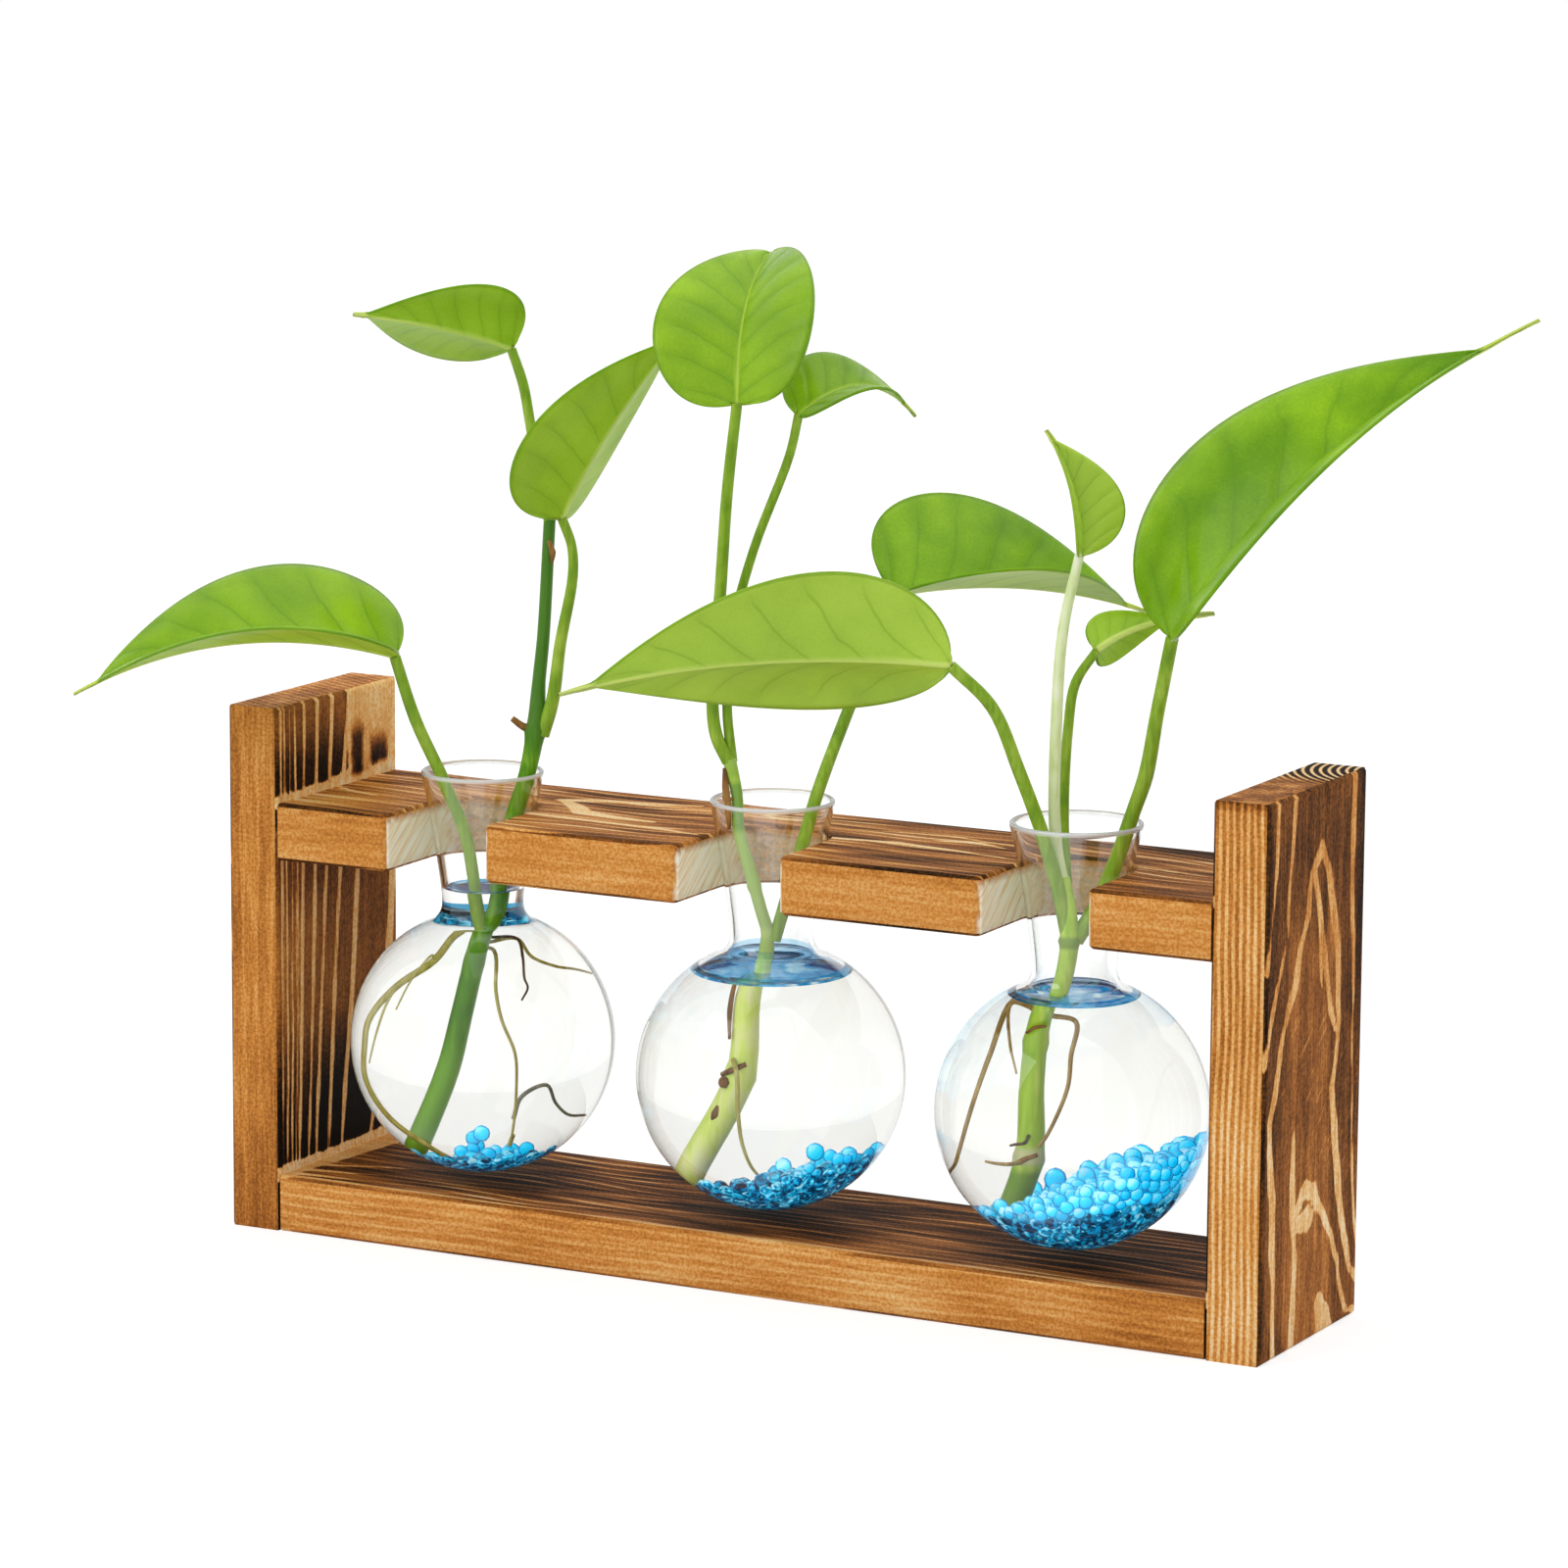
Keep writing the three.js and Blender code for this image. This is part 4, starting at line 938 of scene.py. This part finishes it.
# ----------------------------------------
# Roots: thin water roots, tan to brown, that leave the stems' lower nodes and curl round inside the bulb.
# Of each root: its kind, its radius and its route from the bulb's centre.
root_skins = {
    "pale": green_stem("pale_root_skin", (140, 134, 50), (186, 178, 92), (222, 214, 150)),
    "tan": green_stem("tan_root_skin", (120, 92, 42), (168, 138, 78), (204, 178, 116)),
    "dark": green_stem("dark_root_skin", (34, 24, 16), (74, 54, 34), (120, 100, 60)),
    "grey": green_stem("grey_root_skin", (92, 94, 74), (128, 130, 108), (170, 172, 146)),
}
root_routes = {
    "left": [
        ("pale", 0.8, (-1.5, 1.6, 23.2), (-5, 3.4, 22.4), (-8, 2.4, 20.2), (-10.2, -2.2, 15.8),
         (-16.9, -6.1, 10.2), (-21.8, -7.8, 3.2), (-22.3, -8.5, -2.3), (-22, -7.9, -8.8),
         (-17.4, -7.7, -15.7), (-10.3, -6, -21), (-5.1, -2, -24.4), (-0.6, -0.6, -24.4), (4.1, 1, -23.3),
         (7, 0.1, -19.1)),
        ("pale", 0.35, (-16.6, -6.5, 10.5), (-17.6, -9.3, 7.7), (-19, -11, 1.8), (-20.5, -11.2, -5.1)),
        ("pale", 0.32, (-9.4, -4, 17), (-9.4, -5.9, 18.5), (-12.2, -9.6, 13.6), (-14.3, -12.6, 7.4)),
        ("pale", 0.42, (-1, 0, 20), (1.2, 2.5, 18.6), (3.7, -1, 11), (5.7, -2.1, 5.3), (8.9, -1.9, -1.9),
         (9.4, -2.3, -8.7), (8.4, -2, -17.4), (6.8, -1, -21.8)),
        ("pale", 0.4, (-0.5, 3, 20), (2.5, 9.4, 19), (6, 9, 16), (9.9, 11.8, 13.8), (12, 15.5, 12.5),
         (12.3, 19.9, 10.3)),
        ("dark", 0.36, (0, 3, 21.4), (4, 7.2, 20.4), (6.6, 5.2, 17.2), (7.4, 4.2, 16.6), (7.8, 3.8, 13.1),
         (9.2, 2.9, 11.5), (8.2, 1.9, 8.8)),
        ("grey", 0.46, (7.5, -0.7, -15.8), (9.1, 0, -11.1), (13, 3.6, -8.9), (14, 5.2, -12.7),
         (14.8, 8.2, -15.4), (14.7, 13.9, -16)),
    ],
    "middle": [
        ("pale", 0.5, (-6.4, -3.8, 3), (-3.5, -8.2, 0.5), (-2.8, -9, -6.5), (-2, -8.8, -12.6),
         (-0.6, -7.4, -17.7), (0.9, -5.9, -20.3)),
    ],
    "right": [
        ("tan", 0.6, (-8, 0, 19.5), (-14.5, 4.3, 18.7), (-16, -3.7, 10), (-17.9, -6.9, 1.1),
         (-20.9, -6, -10.5), (-22.7, -1.5, -13.1)),
        ("tan", 0.42, (-8, -0.5, 20), (-14.2, 1.9, 19.3), (-12.1, -3.8, 13.6), (-9.4, -6.3, 7.8)),
        ("tan", 0.55, (-5, 0, 19), (-0.1, 1.3, 18), (0.6, -2.3, 12), (1, -4.7, 5.7), (-1.8, -8.1, -3.6),
         (-3.3, -8.9, -6)),
        ("tan", 0.42, (-8.4, -3, -10), (-10, -8.7, -10), (-12.2, -8.9, -10), (-14.4, -9, -9.8)),
        ("dark", 0.4, (-7.6, -3, -5), (-6.5, -8.8, -5.5), (-8.1, -9.2, -5.8), (-9.2, -9.4, -6.1)),
    ],
}
for side, routes in root_routes.items():
    thinned = {}
    for kind, radius, *route in routes:
        last = len(route) - 1
        tapered = [(*p, radius * (1.1 - 0.5 * i / last)) for i, p in enumerate(route)]
        thinned.setdefault(kind, []).append(tapered)
    for kind, lines in thinned.items():
        roots = strands(f"{kind}_roots_{side}", side, lines, root_skins[kind], height=BULB_CENTRE, sides=6)
        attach(roots, f"{side}_vase")

# ----------------------------------------
# Leaf stalks: round green stalks that sheathe the stem at their foot and carry one blade each.
stalk_skin = green_stem("stalk_skin", (100, 142, 24), (134, 172, 40), (170, 200, 74))
young_skin = green_stem("young_stalk_skin", (200, 220, 138), (226, 240, 184), (244, 250, 220))
stalk_routes = {
    "left_low": [
        (0.8, -1.8, 80, 1.6), (0, -4.4, 96.2, 1.6), (-2, -5.6, 109.2, 1.6), (-6.2, -8.8, 122.7, 1.6),
        (-12, -14.3, 140.2, 1.6), (-16.3, -17.5, 157, 1.5),
    ],
    "left_top": [
        (13.7, 11.7, 190, 1.5), (12.3, 11, 202, 1.5), (9.2, 10.7, 213, 1.4), (6.6, 10.2, 227, 1.4),
        (3.8, 8.8, 236.5, 1.3),
    ],
    "left_middle": [
        (14.4, 6.4, 135.2, 2), (16.8, 7.7, 144.2, 1.8), (19.2, 7.8, 160, 1.6), (23, 7.6, 178, 1.4),
        (23, 7, 186, 1.3), (21.5, 4.5, 193.5, 1.3),
    ],
    "middle_top": [
        (-9.2, -7.1, 135.7, 1.7), (-12, -8.6, 142.7, 1.7), (-12.4, -10, 154, 1.6), (-9.8, -10.8, 180, 1.6),
        (-7.4, -11.8, 206, 1.5), (-4.8, -11.6, 229, 1.4),
    ],
    "middle_side": [
        (-8.8, -5.7, 135.5, 1.4), (-10, -6.4, 150, 1.3), (-8.8, -5.8, 170, 1.3), (-4.2, -3.3, 190.5, 1.2),
        (3, 2.6, 215, 1.2), (4.4, 4.6, 225, 1.2),
    ],
    "middle_back": [
        (2, -2.4, 89.2, 1.7), (4.8, -0.9, 100.6, 1.7), (8, 2, 115.2, 1.7), (10, 6.6, 128.2, 1.7),
        (13.9, 17.4, 150, 1.6), (20.3, 28.7, 176.5, 1.5),
    ],
    "right_front": [
        (-0.6, -3.6, 100.2, 1.9), (-1.8, -5.4, 109.2, 1.8), (-4, -7.8, 120.6, 1.8), (-9.2, -14.9, 142.2, 1.7),
        (-13.5, -22, 159, 1.6), (-21.8, -28.4, 169.5, 1.5),
    ],
    "right_upright": [
        (-2.1, -3, 112.5, 1.6), (-3.6, -3.3, 119, 1.6), (-3.9, -5, 130.2, 1.5), (-2.6, -7.4, 152, 1.5),
        (-0.4, -9, 177, 1.4), (3.9, -9.1, 196.6, 1.2),
    ],
    "right_small": [
        (-1.8, 0, 102.2, 1.5), (-3.7, 1.5, 116.6, 1.4), (-4.3, 1.3, 129.2, 1.4), (-2.8, 0.1, 151, 1.3),
        (-0.6, -0.6, 163, 1.3), (4.7, 0.2, 171.5, 1.1),
    ],
    "right_large": [
        (1, -1.8, 97.7, 2.1), (5.4, 0.6, 106.2, 2.1), (9.6, 2.8, 117.7, 2), (13.5, 4.6, 130.7, 1.9),
        (16.6, 5, 140.2, 2), (20, 3.6, 156, 1.8), (24.7, 1.6, 176, 1.7),
    ],
}
for leaf, route in stalk_routes.items():
    side = leaf.split("_")[0]
    skin = young_skin if leaf == "right_upright" else stalk_skin
    stalk = strands(f"leaf_stalk_{leaf}", side, [route], skin, sides=12)
    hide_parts(f"stalk_{leaf}")
    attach(stalk, f"{side}_vase")

# ----------------------------------------
# Leaf blades: thin heart-shaped blades, glossy above with sunk veins, paler below with a raised midrib, each
# folded along its midrib, bowed and tipped as it grew.
BLADE_ROWS, BLADE_COLUMNS, BLADE_THICKNESS = 60, 33, 0.7
# Of each blade: its tip from the vase's axis, its bow, its roll in degrees, then for its two halves their
# widths, folds in degrees and lobes at the foot, then its lead past the tip, its taper, its belly, its sway
# to the side and the share that its drip tip takes.
leaf_shapes = {
    "left_low": ((-87.5, -61.5, 147.5), 8.7, -5, (28.5, 29), (20, 31), (0.12, 0.2), 0, 0.5, 0.06, 0, 0.07),
    "left_top": ((-24.5, -24, 247), 0, 28, (18.5, 31), (23, 13), (0.1, 0.1), 0, 0.6, 0.08, -2.8, 0.06),
    "left_middle": ((56, 7, 244.5), 1.5, 2, (22.5, 25), (7, 29), (0.19, 0.15), 0, 0.4, 0.03, 2.8, 0.06),
    "middle_top": ((-14, 23.5, 264), 6.7, -4, (22.5, 23.5), (17, 24), (0.22, 0.22), 0.19, 0.4, 0.04, -0.7, 0.02),
    "middle_side": ((21.5, 37, 222.5), 8, 17, (16.5, 8), (10, 16), (0.09, 0.09), 0, 0.4, 0.03, -0.5, 0.12),
    "middle_back": ((66, 84.5, 168.5), 3.7, 21, (31.5, 30), (23, 38), (0.22, 0.16), 0, 0.45, 0.02, -1.8, 0.08),
    "right_front": ((-95, -96.5, 166), 8.3, 61, (23.5, 25.5), (17, 24), (0.02, 0.02), 0, 0.53, 0.1, 1.3, 0.08),
    "right_upright": ((-5, -10.2, 227.5), 0.8, -13, (9.5, 13), (30, 37), (0.08, 0.08), 0, 0.55, 0.09, 2.8, 0.08),
    "right_small": ((22.5, 32, 178), 3.4, -106, (6.5, 8.5), (27, 35), (0.06, 0.06), 0, 0.6, 0.08, 2.3, 0.3),
    "right_large": ((100, 52.5, 255), 8.6, 10, (36, 36.5), (25, 21), (0.07, 0.07), 0, 0.57, 0.06, 0, 0.13),
}
pale_leaves = {"right_front": 0.26, "right_upright": 0.7, "middle_top": 0.14, "middle_side": 0.1, "left_low": 0.12}


def leaf_surface(name, light, middle_tone, dark, vein, rib, gloss):
    """Leaf skin: veins that fan from the pale midrib to the margin over softly mottled green."""
    material, tree, surface, _ = finish_named(name)
    place, out = on_piece(tree), carried(tree, "out")
    mottle, grain = patchy(place, 45, 3), patchy(place, 1500)
    beat = calc("ABSOLUTE", calc("FRACT", carried(tree, "fan") + (mottle - 0.5) * 0.7) - 0.5)
    line = eased(beat, 0.05, 0.012) * eased(out, 0.95, 0.6)
    swell = eased(beat, 0.3, 0.0)
    tone = mottle * 0.75 + grain * 0.25 - swell * 0.06
    skin = colours(tone, (0.3, dark), (0.5, middle_tone), (0.7, light))
    skin = blended(carried(tree, "pale"), skin, tint(*rib))
    skin = blended(line * 0.34 + eased(out, 0.955, 0.99, 0, 0.5), skin, tint(*vein))
    leaf = {
        "Base Color": blended(carried(tree, "rib"), skin, tint(*rib)),
        "Roughness": gloss,
        "Specular IOR Level": 0.16,
        "Subsurface Weight": 0.45,
        "Subsurface Radius": (1, 1, 0.3),
        "Subsurface Scale": 0.0015,
        "Normal": relief(grain * 0.2 - swell, 0.3),
    }
    feed(surface, leaf)
    return material


upper_skin = leaf_surface(
    "leaf_upper", (154, 198, 24), (126, 172, 10), (98, 148, 4), (92, 140, 14), (188, 214, 84), 0.24
)
under_skin = leaf_surface(
    "leaf_under", (174, 208, 62), (158, 196, 44), (138, 178, 32), (116, 156, 28), (204, 224, 118), 0.42
)


def leaf_point(shape, base, u, out, hand):
    """A point of the blade's middle sheet, its normal and the width there: u runs from foot to tip, out from
    the midrib to the margin."""
    tip, bow, roll, widths, folds, lobes, lead, taper, belly, sway, drip = shape
    axis = Vector(tip) - base
    length, along = axis.length, axis.normalized()
    level = along.cross(Vector((0, 0, 1))).normalized()
    upright = level.cross(along)
    roll = math.radians(roll)
    up = upright * math.cos(roll) + level * math.sin(roll)
    side = level * math.cos(roll) - upright * math.sin(roll)
    widest = 0.5 / (1 + taper)
    peak = 2 * math.sqrt(widest * (1 - widest)) * (1 - widest) ** taper
    share = min(u / (1 - drip), 1)
    sine = 2 * math.sqrt(max(share * (1 - share), 0))
    width = widths[hand] * sine * (1 - share) ** taper / peak
    point_reach = 0.75 * (1 - 0.75 * max(u - 1 + drip, 0) / drip)
    reach = max(width, point_reach) * out
    sign = 1 if hand else -1
    turn = Matrix.Rotation(-sign * math.radians(folds[hand]), 3, along)
    back = lobes[hand] * sine * (1 - share) ** 3 * out
    forward = lead * sine * share**3 * out
    place = u - back + forward
    arch = 4 * place * (1 - place)
    point = base + along * length * place + up * bow * arch + side * sway * arch
    hump = belly * width * 4 * out * (1 - out)
    point += (turn @ (side * sign)) * reach + (turn @ up) * hump
    return point, turn @ up, width


for leaf, shape in leaf_shapes.items():
    side, drip = leaf.split("_")[0], shape[-1]
    base = Vector(stalk_routes[leaf][-1][:3])
    deselect()
    columns, rows = BLADE_COLUMNS - 1, BLADE_ROWS - 1
    bpy.ops.mesh.primitive_grid_add(x_subdivisions=columns, y_subdivisions=rows, size=1, location=(0, 0, 0))
    blade = bpy.context.object
    blade.name = f"leaf_blade_{leaf}"
    mesh = blade.data
    fans, outs, ribs, places = [], [], [], []
    wave = random.Random(leaf).random() * 6
    for vertex in mesh.vertices:
        v = 2 * vertex.co.x
        row = vertex.co.y + 0.5
        u = (1 - math.cos(math.pi * row)) / 2
        u = u * (1 - drip * 0.5) + row * drip * 0.5
        out = abs(v) ** 1.25
        point, normal, width = leaf_point(shape, base, u, out, 1 if v > 0 else 0)
        fan = 7.5 * (u - 0.3 * out * (1 - 0.4 * out)) + (0.5 if v > 0 else 0)
        beat = abs(fan % 1 - 0.5)
        rib = near(out * width, 1.0 - 0.6 * u, 0.35 - 0.2 * u)
        sunk_vein = 0.12 * near(beat, 0.3, 0) * near(out, 0.02, 0.1) * near(out, 1, 0.7)
        point -= normal * (0.35 * rib * (1 - 0.6 * u) + sunk_vein)
        point += normal * 0.25 * math.sin(5 * u + 7 * v + wave) * out
        places.append(point)
        fans.append(fan)
        outs.append(out)
        ribs.append(rib)
    for vertex, point in zip(mesh.vertices, places):
        vertex.co = (point + Vector((vases[side][0] * PITCH, SLOT_Y, 0))) * MM
    mark(mesh, "fan", fans)
    mark(mesh, "out", outs)
    mark(mesh, "rib", ribs)
    mark(mesh, "pale", [pale_leaves.get(leaf, 0.0)] * len(places))
    wanted = leaf_point(shape, base, 0.4, 0, 1)[1]
    if mesh.polygons[len(mesh.polygons) // 2].normal.dot(wanted) < 0:
        mesh.flip_normals()
    mesh.materials.append(upper_skin)
    mesh.materials.append(under_skin)
    thickness = blade.modifiers.new("thickness", "SOLIDIFY")
    thickness.thickness, thickness.offset, thickness.material_offset = BLADE_THICKNESS * MM, 0, 1
    bpy.ops.object.modifier_apply(modifier="thickness")
    mesh.shade_smooth()
    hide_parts(f"blade_{leaf}")
    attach(blade, f"{side}_vase")
